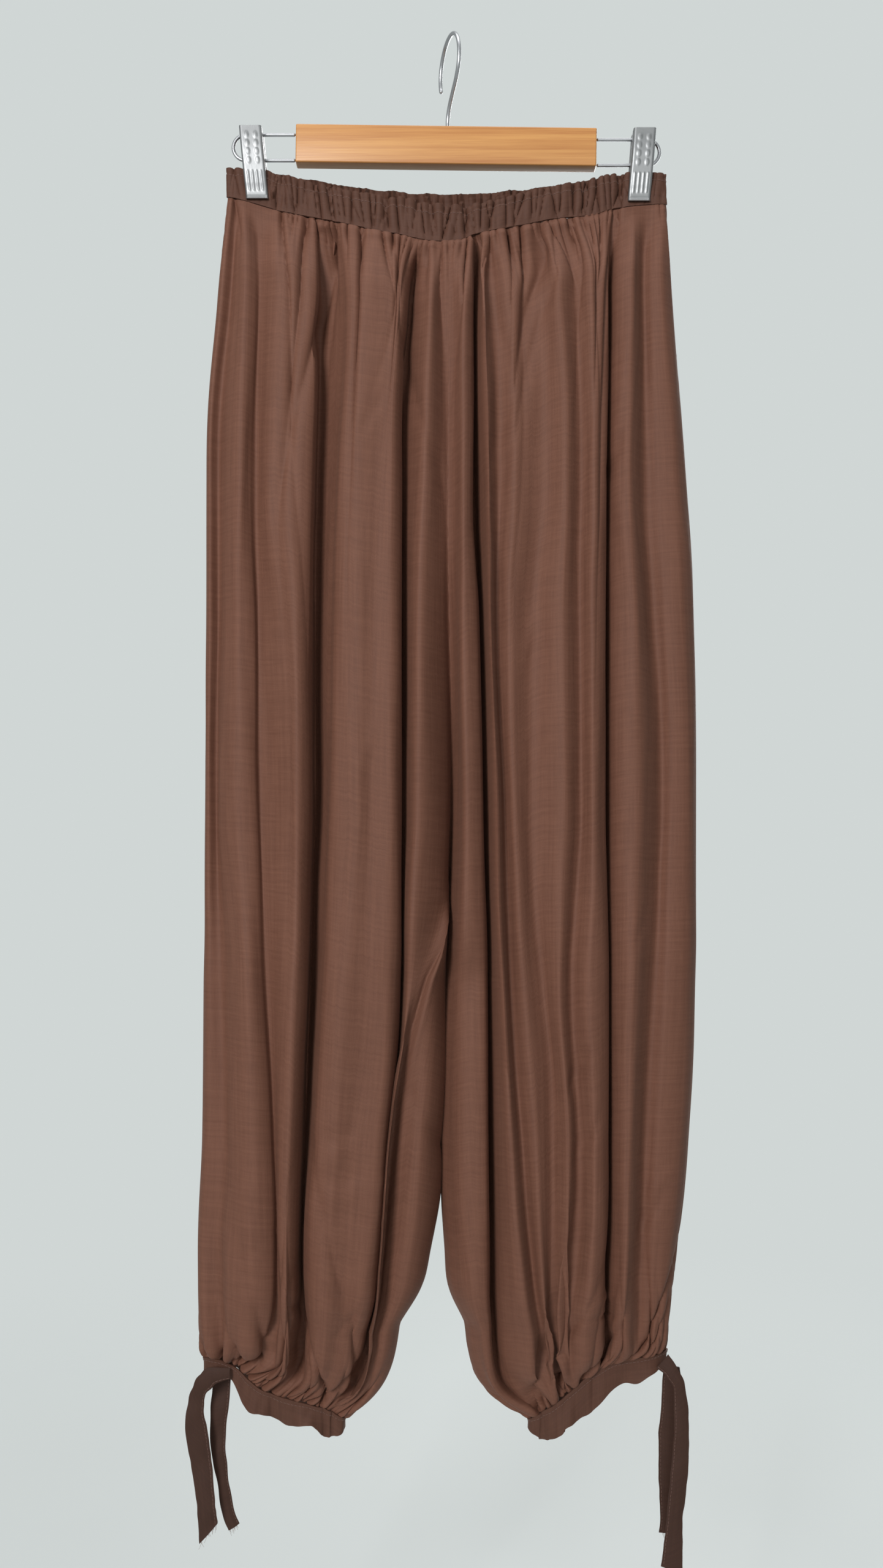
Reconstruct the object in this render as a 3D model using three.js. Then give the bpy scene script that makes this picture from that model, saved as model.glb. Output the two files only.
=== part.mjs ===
// Harem pants hung flat from the two clips of a wooden skirt hanger.
// Millimetres, +Z up. The origin is the inside of the hook's crown, where a rail bears on it.
// The front of the garment faces -Y, and the wearer's right leg is on the -X side.
// Every cloth piece is one wall: a grid of points on its middle surface, moved out and in.
import * as THREE from 'three';

// ---------------------------------------------------------------- driving sizes
const CLOTH = 1.3;              // wall of a body panel
const BAND_CLOTH = 2.0;         // casing with its elastic
const CUFF_CLOTH = 1.4;
const TIE_CLOTH = 1.2;
const SEAM_GAP = 0.3;           // between two pieces that are sewn together
const WAIST_GAP = 0.45;         // the same gap, measured upright, along the drooping waist
const SLANT_GAP = 0.6;          // and at the slanting cuffs
const CROTCH_Z = -650;          // where the front rise, back rise and both inseams meet
const CLIP_X = 149;             // half the distance between the two clips
const PINCH_REACH = 17;         // how far a clip flattens the gathers beside it
const BAND_INNER = 2.3;         // half the gap between the two sides of the flat waistband
const GATHER_WAIST = 1.3;       // half a gather's height below the waistband
const GATHER_ANKLE = 1.1;       // half a gather's height above a cuff
const GATHER_BAND = 1.2;        // half a gather's height on the waistband
const BAND_GATHERS = 28;        // on each side of the waistband
const WIRE_R = 1.5;
const ROD_Z = [-75.5, -95.5];   // the two runs of each side wire
const ROD_FAR = { left: 163.9, right: -167.7 };   // how far out each side wire's bend reaches
const ROD_LIFT = 1.9;           // the hanger hangs a little lower on the left
const SWELL = { band: 12, body: 13, reach: 132 };   // how the flat waist bulges between the clips
const CLOTH_LOOK = { colour: 0x6e4839, roughness: 0.62, metalness: 0 };
const STEEL_LOOK = { colour: 0xb9bcc0, roughness: 0.25, metalness: 1 };
const WOOD_LOOK = { colour: 0xc98f4e, roughness: 0.45, metalness: 0 };

// ---------------------------------------------------------------- levels
// The fold tables give x at these heights. The first and last are the seams themselves.
const LEVELS = [-208, -351, -446, -588, CROTCH_Z, -680, -731, -850, -945, -997];
const DEPTH = [16, 27, 33, 36, 40, 40, 40.5, 41, 41, 39, 31, 13];       // half depth of the garment
const FOLD_SCALE = [0.2, 0.6, 0.85, 1, 1, 1, 1, 1, 1, 1, 0.75, 0.3];  // how far folds stand out

// Seam heights: x along the seam, z of the seam.
const WAIST_FRONT = { x: [-174, -155, -124, -87, -40, 0, 22, 56, 88, 110, 130, 171],
  z: [-122, -127, -136, -145, -156, -162, -156, -149, -142, -139, -132, -128] };
const WAIST_BACK = { x: [-174, -120, -60, 0, 60, 120, 171], z: [-122, -130, -137, -140, -138, -132, -128] };
const WAIST_TOP_FRONT = { x: [-174, -140, -111, -85, -59, -34, 5, 46, 72, 97, 123, 138, 171],
  z: [-100, -103, -112, -119, -125, -129, -134, -127, -120, -114, -107, -104, -104] };
const WAIST_TOP_BACK = { x: [-174, -110, -50, 0, 50, 110, 171],
  z: [-100, -106, -112, -114, -112, -107, -104] };
const ANKLE_RIGHT = { x: [-190, -184, -168, -154, -139, -123, -103, -90, -80],
  z: [-1026, -1024, -1027, -1038, -1048, -1053, -1059, -1065, -1073] };
const ANKLE_LEFT = { x: [61, 72, 85, 97, 115, 133, 154, 170],
  z: [-1074, -1065, -1055, -1044, -1030, -1023, -1021, -1020] };
const CUFF_RIGHT = { x: [-190, -168, -158, -151, -139, -121, -108, -102, -95, -90, -80],
  z: [-1036, -1038, -1056, -1062, -1065, -1074, -1071, -1075, -1083, -1084, -1079] };
const CUFF_LEFT = { x: [61, 66, 73, 78, 92, 110, 130, 146, 162, 170],
  z: [-1079, -1083, -1087, -1085, -1073, -1062, -1043, -1039, -1030, -1028] };

// ---------------------------------------------------------------- seams that two panels share
// x and y at the waist seam, at each level and at the cuff.
const SEAMS = {
  centreFront: { x: [0, 0, -1, 0, 2, 0, 0, 0, 0, 0, 0, 0],
    y: [-16, -22, -22, -17, -9, -3.2, -1, 0, 0, 0, 0, 0] },
  centreBack: { x: [0, 0, 0, 0, 1, 0, 0, 0, 0, 0, 0, 0], y: [17, 22, 24, 18, 10, 3.2, 1, 0, 0, 0, 0, 0] },
  inseamRight: {
    x: [-2.4, -2.4, -2.4, -2.4, -2.4, -2.4, -4.5, -19, -43, -51, -59, -89],
    y: [0, 0, 0, 0, 0, 0, -24, -33, -22, -18, -17, -7.5] },
  inseamLeft: {
    x: [2.2, 2.2, 2.2, 2.2, 2.2, 2.2, 1.5, -1.5, -4.5, -3, 12, 62],
    y: [0, 0, 0, 0, 0, 0, -1, -3, -2, 0, 0, 0] },
  sideRight: {
    x: [-172, -180, -188, -188, -189, -189, -189, -190, -191, -194, -194, -190],
    y: Array(12).fill(0) },
  sideLeft: { x: [169, 174, 185, 190, 192, 192, 192, 191, 186, 177, 171, 169], y: Array(12).fill(0) },
};

// ---------------------------------------------------------------- fold tables
// One row for each crest, edge or hollow, from the centre seam to the side seam. x is at the
// waist seam, at each level and at the cuff; out is how far it stands out from the even lens
// of the garment. A row with y lies on the inner wall of its leg, and gives its own depth.
const FRONT_RIGHT = [
  { fold: 'inner slope', y: [-17, -24, -25, -24, -22, -22, -26.5, -36, -24, -20, -17, -8],
    x: [-5, -5, -5, -5, -2, -3, -6.5, -23, -46, -53, -60, -91] },
  { fold: 'inner roll', out: 5, x: [-11, -12, -15, -17, -15, -20, -22.5, -28, -47, -54, -61, -92] },
  { fold: 'inner hollow', out: -16, x: [-21, -27, -32, -33, -34, -36, -36.5, -37, -48, -55, -62, -95] },
  { fold: 'under the main edge', out: -17,
    x: [-23, -30, -38, -38, -38, -39, -39.5, -40, -49, -57, -64, -97] },
  { fold: 'main roll edge', out: -4, x: [-25, -32, -38, -38, -38, -38, -38, -39, -48, -56, -66, -99] },
  { fold: 'main roll shoulder', out: 5, x: [-29, -37, -44, -44, -44, -45, -45.5, -46, -54, -63, -74, -104] },
  { fold: 'main roll dip', out: -1, x: [-44, -44, -54, -58, -60, -61, -61.5, -63, -75, -82, -87, -110] },
  { fold: 'main roll crest', out: 7, x: [-62, -68, -72, -73, -71, -75, -77, -81, -89, -95, -98, -117] },
  { fold: 'main roll foot', out: 1, x: [-79, -79, -85, -87, -90, -92, -93, -95, -103, -107, -106, -124] },
  { fold: 'deep hollow wall', out: -14,
    x: [-86, -84, -90, -93, -95, -97, -98, -101, -108, -113, -111, -130] },
  { fold: 'deep hollow', out: -24,
    x: [-101, -102, -105, -107, -107, -109, -109.5, -111, -115, -117, -116, -136] },
  { fold: 'second roll edge', out: -4,
    x: [-105, -104, -108, -109, -109, -110, -110.5, -112, -117, -119, -119, -140] },
  { fold: 'second roll crest', out: 6,
    x: [-119, -120, -124, -119, -117, -117, -117, -119, -123, -125, -125, -145] },
  { fold: 'second roll foot', out: 0,
    x: [-133, -135, -140, -131, -124, -125, -125.5, -127, -130, -131, -131, -152] },
  { fold: 'outer hollow', out: -14,
    x: [-149, -150, -152, -150, -148, -146, -144.5, -142, -136, -134, -135, -157] },
  { fold: 'third roll edge', out: -3,
    x: [-153, -153, -156, -153, -151, -149, -147.5, -145, -139, -137, -138, -160] },
  { fold: 'third roll crest', out: 5,
    x: [-158, -160, -162, -163, -163, -160, -157.5, -154, -152, -152, -151, -165] },
  { fold: 'third roll foot', out: 0,
    x: [-162, -166, -172, -173, -176, -172, -168.5, -165, -165, -170, -169, -171] },
  { fold: 'side hollow', out: -8,
    x: [-165, -172, -180, -180, -181, -180, -178.5, -176, -174, -177, -177, -177] },
  { fold: 'side roll', out: 2,
    x: [-169, -178, -185, -185, -186, -186, -185.5, -185, -186, -190, -189, -183] },
];
const FRONT_LEFT = [
  { fold: 'inner slope', y: [-17, -24, -25, -24, -22, -20, -19.5, -19, -18, -17, -14, -5],
    x: [5, 5, 4, 5, 7, 5, 4, 2.5, 1, 3, 17, 64] },
  { fold: 'inner roll', out: 5, x: [10, 11, 11, 11, 13, 12, 11.5, 11, 11, 17, 26, 67] },
  { fold: 'inner roll edge', out: -3, x: [17, 18, 18, 22, 25, 26, 27, 28, 29, 30, 33, 70] },
  { fold: 'black hollow', out: -22, x: [18, 19, 19, 23, 25, 27, 28, 29, 31, 32, 35, 72] },
  { fold: 'narrow roll foot', out: -10, x: [21, 22, 24, 28, 31, 32, 33, 35, 38, 40, 42, 75] },
  { fold: 'narrow roll', out: 5, x: [25, 27, 31, 32, 37, 38, 39, 42, 48, 56, 64, 78] },
  { fold: 'soft hollow', out: -8, x: [31, 35, 39, 37, 43, 45, 46, 48, 57, 65, 73, 83] },
  { fold: 'low roll', out: 1, x: [40, 48, 51, 47, 50, 53, 54.5, 58, 67, 72, 78, 86] },
  { fold: 'slanting hollow', out: -13, x: [62, 72, 74, 66, 65, 66, 67.5, 73, 81, 80, 82, 89] },
  { fold: 'slanting roll', out: 5, x: [70, 86, 91, 88, 89, 87, 86, 85, 92, 90, 87, 93] },
  { fold: 'shallow hollow', out: -4, x: [86, 100, 103, 102, 103, 100, 97.5, 95, 101, 98, 93, 97] },
  { fold: 'third roll crest', out: 7, x: [99, 112, 113, 111, 111, 111, 110, 108, 112, 109, 104, 102] },
  { fold: 'third roll edge', out: -3, x: [127, 126, 123, 122, 121, 122, 122.5, 123, 123, 121, 118, 108] },
  { fold: 'sharp hollow', out: -19, x: [128.5, 127, 124, 123, 123, 123, 123.5, 124, 124, 123, 120, 110.5] },
  { fold: 'outer roll foot', out: -6, x: [133, 132, 129, 129, 129, 129, 129, 129, 129, 128, 124, 115] },
  { fold: 'outer roll', out: 5, x: [143, 143, 140, 144, 146, 144, 143, 141, 138, 136, 134, 123] },
  { fold: 'outer hollow', out: -11, x: [153, 154, 155, 160, 166, 164, 162.5, 159, 153, 149, 146, 134] },
  { fold: 'side roll foot', out: -3, x: [158, 160, 165, 169, 173, 171, 170, 168, 162, 157, 154, 143] },
  { fold: 'side roll', out: 3, x: [164, 168, 177, 181, 184, 184, 184, 183, 178, 169, 164, 157] },
];
// The right leg is turned, so its back panel comes round the inner wall to the front.
const BACK_RIGHT = [
  { fold: 'turned edge', y: [20, 27, 29, 26, 22, 20, -16, -37, -27, -22, -18, -8],
    x: [-8, -8, -8, -8, -3, -3, -4.5, -14, -36, -46, -55, -86] },
  { fold: 'turned front', y: [24, 32, 38, 40, 40, 36, -2, -28, -33, -28, -20, -6],
    x: [-18, -19, -21, -21, -13, -9, -4.5, -8, -21, -31, -47, -82.5] },
  { fold: 'inner turn', y: [22, 28, 33, 36, 42, 42, 16, 0, -10, -8, -4, 0],
    x: [-27, -30, -34, -35, -27, -21, -6, -5, -9, -18, -38, -81] },
  { fold: 'inner roll', y: [17, 19, 21, 24, 32, 38, 36, 26, 16, 16, 14, 5],
    x: [-34, -40, -44, -46, -40, -34, -14, -9, -11, -22, -43, -82] },
  { fold: 'centre hollow', out: -13, x: [-44, -52, -55, -57, -54, -48, -37, -22, -25, -35, -54, -87] },
  { fold: 'broad roll', out: 6, x: [-60, -67, -72, -75, -73, -67, -57, -45, -47, -55, -70, -96] },
  { fold: 'broad roll foot', out: -2, x: [-76, -84, -89, -91, -89, -84, -77, -69, -72, -79, -87, -105] },
  { fold: 'middle hollow', out: -16, x: [-87, -96, -101, -103, -102, -98, -93, -87, -90, -96, -101, -114] },
  { fold: 'middle roll', out: 6,
    x: [-104, -112, -116, -117, -116, -113, -110.5, -108, -111, -115, -117, -124] },
  { fold: 'outer hollow', out: -13,
    x: [-119, -128, -133, -134, -132, -130, -128.5, -127, -131, -134, -133, -135] },
  { fold: 'outer roll', out: 6,
    x: [-134, -143, -149, -150, -148, -147, -146.5, -146, -150, -153, -151, -147] },
  { fold: 'side hollow', out: -9,
    x: [-149, -159, -164, -165, -164, -163, -163, -163, -167, -170, -168, -161] },
  { fold: 'side roll', out: 3, x: [-162, -172, -179, -180, -180, -180, -180, -180, -181, -185, -183, -177] },
];
const BACK_LEFT = [
  { fold: 'inner slope', y: [20, 27, 29, 26, 22, 20, 19, 18, 17, 16, 13, 5],
    x: [8, 8, 8, 8, 5, 4, 3, 1.5, -0.5, 2, 16, 64] },
  { fold: 'inner roll', out: 4, x: [18, 20, 22, 21, 16, 14, 13, 12, 15, 20, 28, 67] },
  { fold: 'centre hollow', out: -14, x: [28, 32, 35, 34, 30, 29, 29, 29, 32, 35, 41, 71] },
  { fold: 'broad roll', out: 6, x: [43, 50, 54, 54, 52, 52, 52, 52, 53, 53, 56, 78] },
  { fold: 'broad roll foot', out: -1, x: [58, 66, 72, 73, 73, 73, 73, 73, 72, 69, 69, 85] },
  { fold: 'middle hollow', out: -16, x: [68, 77, 84, 86, 86, 86, 86, 86, 84, 80, 79, 91] },
  { fold: 'middle roll', out: 6, x: [83, 90, 98, 101, 103, 103, 103, 101, 98, 93, 90, 100] },
  { fold: 'outer hollow', out: -12, x: [97, 104, 112, 116, 118, 118, 118, 116, 112, 107, 104, 108] },
  { fold: 'outer roll', out: 6, x: [111, 120, 128, 132, 135, 135, 135, 133, 128, 123, 118, 120] },
  { fold: 'narrow hollow', out: -12, x: [125, 134, 143, 147, 151, 151, 151, 149, 143, 137, 132, 133] },
  { fold: 'narrow roll', out: 4, x: [138, 146, 156, 161, 164, 164, 164, 162, 157, 149, 143, 144] },
  { fold: 'side hollow', out: -8, x: [150, 158, 168, 173, 177, 177, 177, 175, 169, 161, 155, 155] },
  { fold: 'side roll', out: 3, x: [161, 167, 179, 183, 186, 186, 186, 184, 179, 170, 164, 163] },
];

// Rows of every panel: share of the way from the waist seam to the crotch, then to the cuff.
const ROWS_ABOVE = [0, 0.022, 0.06, 0.15, 0.3, 0.45, 0.6, 0.8, 1];
const ROWS_BELOW = [0.03, 0.12, 0.28, 0.45, 0.62, 0.76, 0.86, 0.93, 0.97, 1];
// Each panel is one piece of cloth. Its solid is parted at two of these rows, because a whole
// panel's collision hulls would be thick enough to fill the legs.
const PART_NAMES = ['top', 'middle', 'low'];
const PARTINGS = [6, 11];

// ---------------------------------------------------------------- small tools
const clamp01 = (t) => Math.min(1, Math.max(0, t));
const smoothstep = (t) => clamp01(t) ** 2 * (3 - 2 * clamp01(t));
const mix = (a, b, t) => a + (b - a) * t;

// A smooth curve through a short table that never overshoots it (monotone cubic).
function table(xs, ys, x) {
  const last = xs.length - 1;
  if (x <= xs[0]) return ys[0];
  if (x >= xs[last]) return ys[last];
  let i = 0;
  while (x > xs[i + 1]) i += 1;
  const slope = (k) => (ys[k + 1] - ys[k]) / (xs[k + 1] - xs[k]);
  const tangent = (k) => {
    if (k === 0) return slope(0);
    if (k === last) return slope(last - 1);
    const a = slope(k - 1);
    const b = slope(k);
    return a * b <= 0 ? 0 : (2 * a * b) / (a + b);
  };
  const h = xs[i + 1] - xs[i];
  const t = (x - xs[i]) / h;
  const a = ys[i] + tangent(i) * h * t;
  const b = ys[i + 1] - tangent(i + 1) * h * (1 - t);
  return mix(a, b, t * t * (3 - 2 * t));
}
// Tables of levels run down from the waist seam at top to the cuff at bottom.
// Below the last level a leg keeps its width for a while and then closes fast, like a balloon.
const BALLOON = 0.25;           // share of the closing that is even; the rest goes as a cube
function ballooned(z, bottom) {
  const last = LEVELS[LEVELS.length - 1];
  const share = clamp01((last - z) / (last - bottom));
  return Math.max(z, last) - (last - bottom) * (BALLOON * share + (1 - BALLOON) * share ** 3);
}
const atLevel = (values, z, top, bottom) =>
  table([-top, ...LEVELS.map((level) => -level), -bottom], values, -ballooned(z, bottom));

function mesh(name, geometry, { colour, roughness, metalness }) {
  const material = new THREE.MeshStandardMaterial({ color: colour, roughness, metalness });
  const made = new THREE.Mesh(geometry, material);
  made.name = name;
  return made;
}

// A closed wall of the given thickness on a grid of points with unit normals. A grid with
// closed set is a tube: its last column joins its first. settle puts a corner on its seam.
function wall(points, normals, thickness, closed = false, settle = (v) => v) {
  const rows = points.length;
  const cols = points[0].length;
  const vertices = [];
  for (const side of [0.5, -0.5]) {
    for (let r = 0; r < rows; r += 1) {
      for (let c = 0; c < cols; c += 1) {
        const corner = points[r][c].clone().addScaledVector(normals[r][c], side * thickness);
        vertices.push(settle(corner, r, c));
      }
    }
  }
  const id = (side, r, c) => side * rows * cols + r * cols + (c % cols);
  const faces = [];
  const quad = (a, b, c, d) => faces.push(a, b, c, a, c, d);
  const spans = closed ? cols : cols - 1;
  for (let r = 0; r < rows - 1; r += 1) {
    for (let c = 0; c < spans; c += 1) {
      quad(id(0, r, c), id(0, r, c + 1), id(0, r + 1, c + 1), id(0, r + 1, c));
      quad(id(1, r, c), id(1, r + 1, c), id(1, r + 1, c + 1), id(1, r, c + 1));
    }
  }
  for (let c = 0; c < spans; c += 1) {
    quad(id(0, 0, c), id(1, 0, c), id(1, 0, c + 1), id(0, 0, c + 1));
    quad(id(0, rows - 1, c), id(0, rows - 1, c + 1), id(1, rows - 1, c + 1), id(1, rows - 1, c));
  }
  if (!closed) {
    for (let r = 0; r < rows - 1; r += 1) {
      quad(id(0, r, 0), id(0, r + 1, 0), id(1, r + 1, 0), id(1, r, 0));
      quad(id(0, r, cols - 1), id(1, r, cols - 1), id(1, r + 1, cols - 1), id(0, r + 1, cols - 1));
    }
  }
  const geometry = new THREE.BufferGeometry();
  const numbers = vertices.flatMap((v) => v.toArray());
  geometry.setAttribute('position', new THREE.Float32BufferAttribute(numbers, 3));
  geometry.setIndex(faces);
  return outward(geometry);
}

// Turns every face over when the solid's volume comes out negative.
function outward(geometry) {
  const p = geometry.attributes.position;
  const index = geometry.index.array;
  const [a, b, c] = [new THREE.Vector3(), new THREE.Vector3(), new THREE.Vector3()];
  let volume = 0;
  for (let i = 0; i < index.length; i += 3) {
    a.fromBufferAttribute(p, index[i]);
    b.fromBufferAttribute(p, index[i + 1]);
    c.fromBufferAttribute(p, index[i + 2]);
    volume += a.dot(b.cross(c));
  }
  if (volume < 0) {
    for (let i = 0; i < index.length; i += 3) [index[i], index[i + 1]] = [index[i + 1], index[i]];
  }
  return geometry;
}

// ---------------------------------------------------------------- the garment's even form
// Half depth at x: a flat pinched band at the waist that becomes a full lens, which is one
// lens for the whole garment above the crotch and one for each leg below it.
function lens(x, z, top, bottom, leg) {
  const outer = atLevel(SEAMS[leg > 0 ? 'sideLeft' : 'sideRight'].x, z, top, bottom);
  const inner = atLevel(SEAMS[leg > 0 ? 'inseamLeft' : 'inseamRight'].x, z, top, bottom);
  const innerWall = leg > 0 ? inner : Math.max(inner, atLevel(BACK_RIGHT[2].x, z, top, bottom));
  const split = smoothstep((CROTCH_Z + 40 - z) / 120);
  const from = mix(-outer, innerWall, split);
  const away = Math.abs((2 * x - from - outer) / (outer - from));
  const full = atLevel(DEPTH, z, top, bottom) * Math.sqrt(Math.max(0, 1 - away ** 3.2));
  const flat = BAND_INNER + SWELL.body * Math.max(0, 1 - (x / SWELL.reach) ** 2);
  const flatEnd = flat * Math.sqrt(clamp01((1 - Math.abs(x / outer)) / 0.03));
  return mix(flatEnd, full, smoothstep((top - z) / 80));
}

// Each sewn edge stands half a gap below (-1) or above (+1) its seam.
const slants = (seam) => seam === ANKLE_RIGHT || seam === ANKLE_LEFT;
const seamHeight = (seam, x, side) =>
  table(seam.x, seam.z, x) + (side * (slants(seam) ? SLANT_GAP : WAIST_GAP)) / 2;
const waistOf = (panel) => (panel.startsWith('front') ? WAIST_FRONT : WAIST_BACK);
const ankleOf = (panel) => (panel.endsWith('right') ? ANKLE_RIGHT : ANKLE_LEFT);

// The line of one fold or seam at a row. front is -1 on the front, +1 on the back.
function rowHeight(row, top, bottom) {
  if (row < ROWS_ABOVE.length) return mix(top, CROTCH_Z, ROWS_ABOVE[row]);
  return mix(CROTCH_Z, bottom, ROWS_BELOW[row - ROWS_ABOVE.length]);
}
function linePoint(line, row, front, leg) {
  const top = seamHeight(front < 0 ? WAIST_FRONT : WAIST_BACK, line.x[0], -1);
  const bottom = seamHeight(leg < 0 ? ANKLE_RIGHT : ANKLE_LEFT, line.x[11], 1);
  const z = rowHeight(row, top, bottom);
  const x = atLevel(line.x, z, top, bottom);
  if (line.y) return new THREE.Vector3(x, atLevel(line.y, z, top, bottom), z);
  const stand = lens(x, z, top, bottom, leg) + line.out * atLevel(FOLD_SCALE, z, top, bottom);
  return new THREE.Vector3(x, front * Math.max(stand, BAND_INNER * 0.8), z);
}

// ---------------------------------------------------------------- the rings
// A ring is a closed smooth curve through all the lines that one row crosses. It is the whole
// garment down to the crotch, and one leg below it. Each panel is cut from it at its seams.
function ringSpans(row) {
  const whole = row < ROWS_ABOVE.length;
  const front = (table_, leg) => table_.map((line) => linePoint(line, row, -1, leg));
  const back = (table_, leg) => table_.map((line) => linePoint(line, row, 1, leg));
  const seam = (name, side, leg) => linePoint(SEAMS[name], row, side, leg);
  const fr = front(FRONT_RIGHT, -1).reverse();
  const fl = front(FRONT_LEFT, 1);
  const br = back(BACK_RIGHT, -1);
  const bl = back(BACK_LEFT, 1).reverse();
  const right = seam('sideRight', -1, -1);
  const left = seam('sideLeft', -1, 1);
  if (whole) {
    const centreFront = seam('centreFront', -1, -1);
    const centreBack = seam('centreBack', 1, -1);
    const ring = [right, ...fr, centreFront, ...fl, left, ...bl, centreBack, ...br];
    const n = [fr.length + 1, fl.length + 1, bl.length + 1, br.length + 1];
    return [
      { panel: 'front_right', ring, from: 0, to: n[0] },
      { panel: 'front_left', ring, from: n[0], to: n[0] + n[1] },
      { panel: 'back_left', ring, from: n[0] + n[1], to: n[0] + n[1] + n[2] },
      { panel: 'back_right', ring, from: n[0] + n[1] + n[2], to: ring.length },
    ];
  }
  const rightRing = [right, ...fr, seam('inseamRight', -1, -1), ...br];
  const leftRing = [seam('inseamLeft', -1, 1), ...fl, left, ...bl];
  return [
    { panel: 'front_right', ring: rightRing, from: 0, to: fr.length + 1 },
    { panel: 'back_right', ring: rightRing, from: fr.length + 1, to: rightRing.length },
    { panel: 'front_left', ring: leftRing, from: 0, to: fl.length + 1 },
    { panel: 'back_left', ring: leftRing, from: fl.length + 1, to: leftRing.length },
  ];
}

// The middle surface of every panel: two columns for each fold line.
function panelGrids() {
  const grids = {};
  const rows = ROWS_ABOVE.length + ROWS_BELOW.length;
  for (let row = 0; row < rows; row += 1) {
    for (const span of ringSpans(row)) {
      const curve = new THREE.CatmullRomCurve3(span.ring, true, 'centripetal');
      const columns = 2 * (span.to - span.from);
      const grid = grids[span.panel] ?? (grids[span.panel] = { points: [], along: [] });
      const points = [];
      const along = [];
      for (let c = 0; c <= columns; c += 1) {
        const u = ((span.from + c / 2) / span.ring.length) % 1;
        const tangent = curve.getTangent(u);
        const inset = c === 0 ? SEAM_GAP / 2 : c === columns ? -SEAM_GAP / 2 : 0;
        points.push(curve.getPoint(u).addScaledVector(tangent, inset));
        along.push(tangent);
      }
      grid.points.push(points);
      grid.along.push(along);
    }
  }
  return grids;
}

function gridNormals({ points, along }) {
  return points.map((line, r) => line.map((_, c) => {
    const below = points[Math.min(r + 1, points.length - 1)][c];
    const above = points[Math.max(r - 1, 0)][c];
    const down = below.clone().sub(above);
    const normal = down.cross(along[r][c]);
    if (r === 0 || r === points.length - 1) normal.z = 0;
    return normal.normalize();
  }));
}

// How strongly gathers stand at a place: full at the seams, flat in the clips.
const unclipped = (x) => 1 - Math.exp(-(((Math.abs(x) - CLIP_X) / PINCH_REACH) ** 4));
function gatherHeight(row, x) {
  const above = [0.9, 1, 0.8, 0.35];
  const below = [0.25, 0.6, 1, 0.9];
  const rows = ROWS_ABOVE.length + ROWS_BELOW.length;
  if (row < above.length) return GATHER_WAIST * above[row] * unclipped(x);
  const k = row - (rows - below.length);
  return k < 0 ? 0 : GATHER_ANKLE * below[k];
}

const grids = panelGrids();
function bodyPanel(name) {
  const grid = grids[name];
  const normals = gridNormals(grid);
  const last = grid.points[0].length - 1;
  const points = grid.points.map((line, r) => line.map((p, c) => {
    const wave = c === 0 || c === last ? 0 : c % 2 === 0 ? -1 : 1;
    return p.clone().addScaledVector(normals[r][c], wave * gatherHeight(r, p.x));
  }));
  const end = points.length - 1;
  const bounds = [0, ...PARTINGS, end];
  return PART_NAMES.map((part, k) => {
    const [from, to] = [bounds[k], bounds[k + 1]];
    const settle = (corner, r, c) => {
      if (from + r === 0) corner.z = seamHeight(waistOf(name), corner.x, -1);
      else if (from + r === end) corner.z = seamHeight(ankleOf(name), corner.x, 1);
      else if (r === 0) corner.z = points[from][c].z - SEAM_GAP / 2;
      else if (from + r === to) corner.z = points[to][c].z + SEAM_GAP / 2;
      return corner;
    };
    const rows = points.slice(from, to + 1);
    const solid = wall(rows, normals.slice(from, to + 1), CLOTH, false, settle);
    return mesh(`${name}_${part}`, solid, CLOTH_LOOK);
  });
}

// ---------------------------------------------------------------- waistband
// A flat tube: along the front from right to left, and back again behind.
function bandPoint(angle) {
  // angle 0 is the right side, pi the left side; the front is passed first
  const x = mix(SEAMS.sideRight.x[0], SEAMS.sideLeft.x[0], (1 - Math.cos(angle)) / 2);
  const front = angle < Math.PI ? -1 : 1;
  const side = front < 0 ? [WAIST_TOP_FRONT, WAIST_FRONT] : [WAIST_TOP_BACK, WAIST_BACK];
  const swell = SWELL.band * Math.max(0, 1 - (x / SWELL.reach) ** 2);
  const y = front * (BAND_INNER * Math.min(1, 4 * Math.abs(Math.sin(angle))) + swell);
  return { x, y, top: table(side[0].x, side[0].z, x), seam: table(side[1].x, side[1].z, x) };
}
function waistband() {
  const columns = 4 * BAND_GATHERS;
  const shares = [0, 0.5, 1];
  const lean = [0.7, 1, 0.6];
  const points = [];
  const normals = [];
  const angleAt = (c) => {
    const half = columns / 2;
    const share = (c % half) / half;
    const even = Math.acos(1 - 2 * share);
    return (c < half ? 0 : Math.PI) + even;
  };
  shares.forEach((share, r) => {
    points.push([]);
    normals.push([]);
    for (let c = 0; c < columns; c += 1) {
      const at = bandPoint(angleAt(c));
      const next = bandPoint(angleAt((c + 1) % columns));
      const prev = bandPoint(angleAt((c + columns - 1) % columns));
      const normal = new THREE.Vector3(next.y - prev.y, prev.x - next.x, 0).normalize();
      const wave = (c % 2 === 0 ? -1 : 1) * GATHER_BAND * lean[r] * unclipped(at.x);
      const sides = [SEAMS.sideRight.x[0], SEAMS.sideLeft.x[0]];
      const end = Math.min(1, ...sides.map((side) => Math.abs(at.x - side) / 8));
      const z = mix(at.top, at.seam + SEAM_GAP / 2, share);
      points[r].push(new THREE.Vector3(at.x, at.y, z).addScaledVector(normal, wave * end));
      normals[r].push(normal);
    }
  });
  const settle = (corner, r, c) => {
    const seam = c < columns / 2 ? WAIST_FRONT : WAIST_BACK;
    if (r === shares.length - 1) corner.z = seamHeight(seam, corner.x, 1);
    return corner;
  };
  return mesh('waistband', wall(points, normals, BAND_CLOTH, true, settle), CLOTH_LOOK);
}

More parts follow.
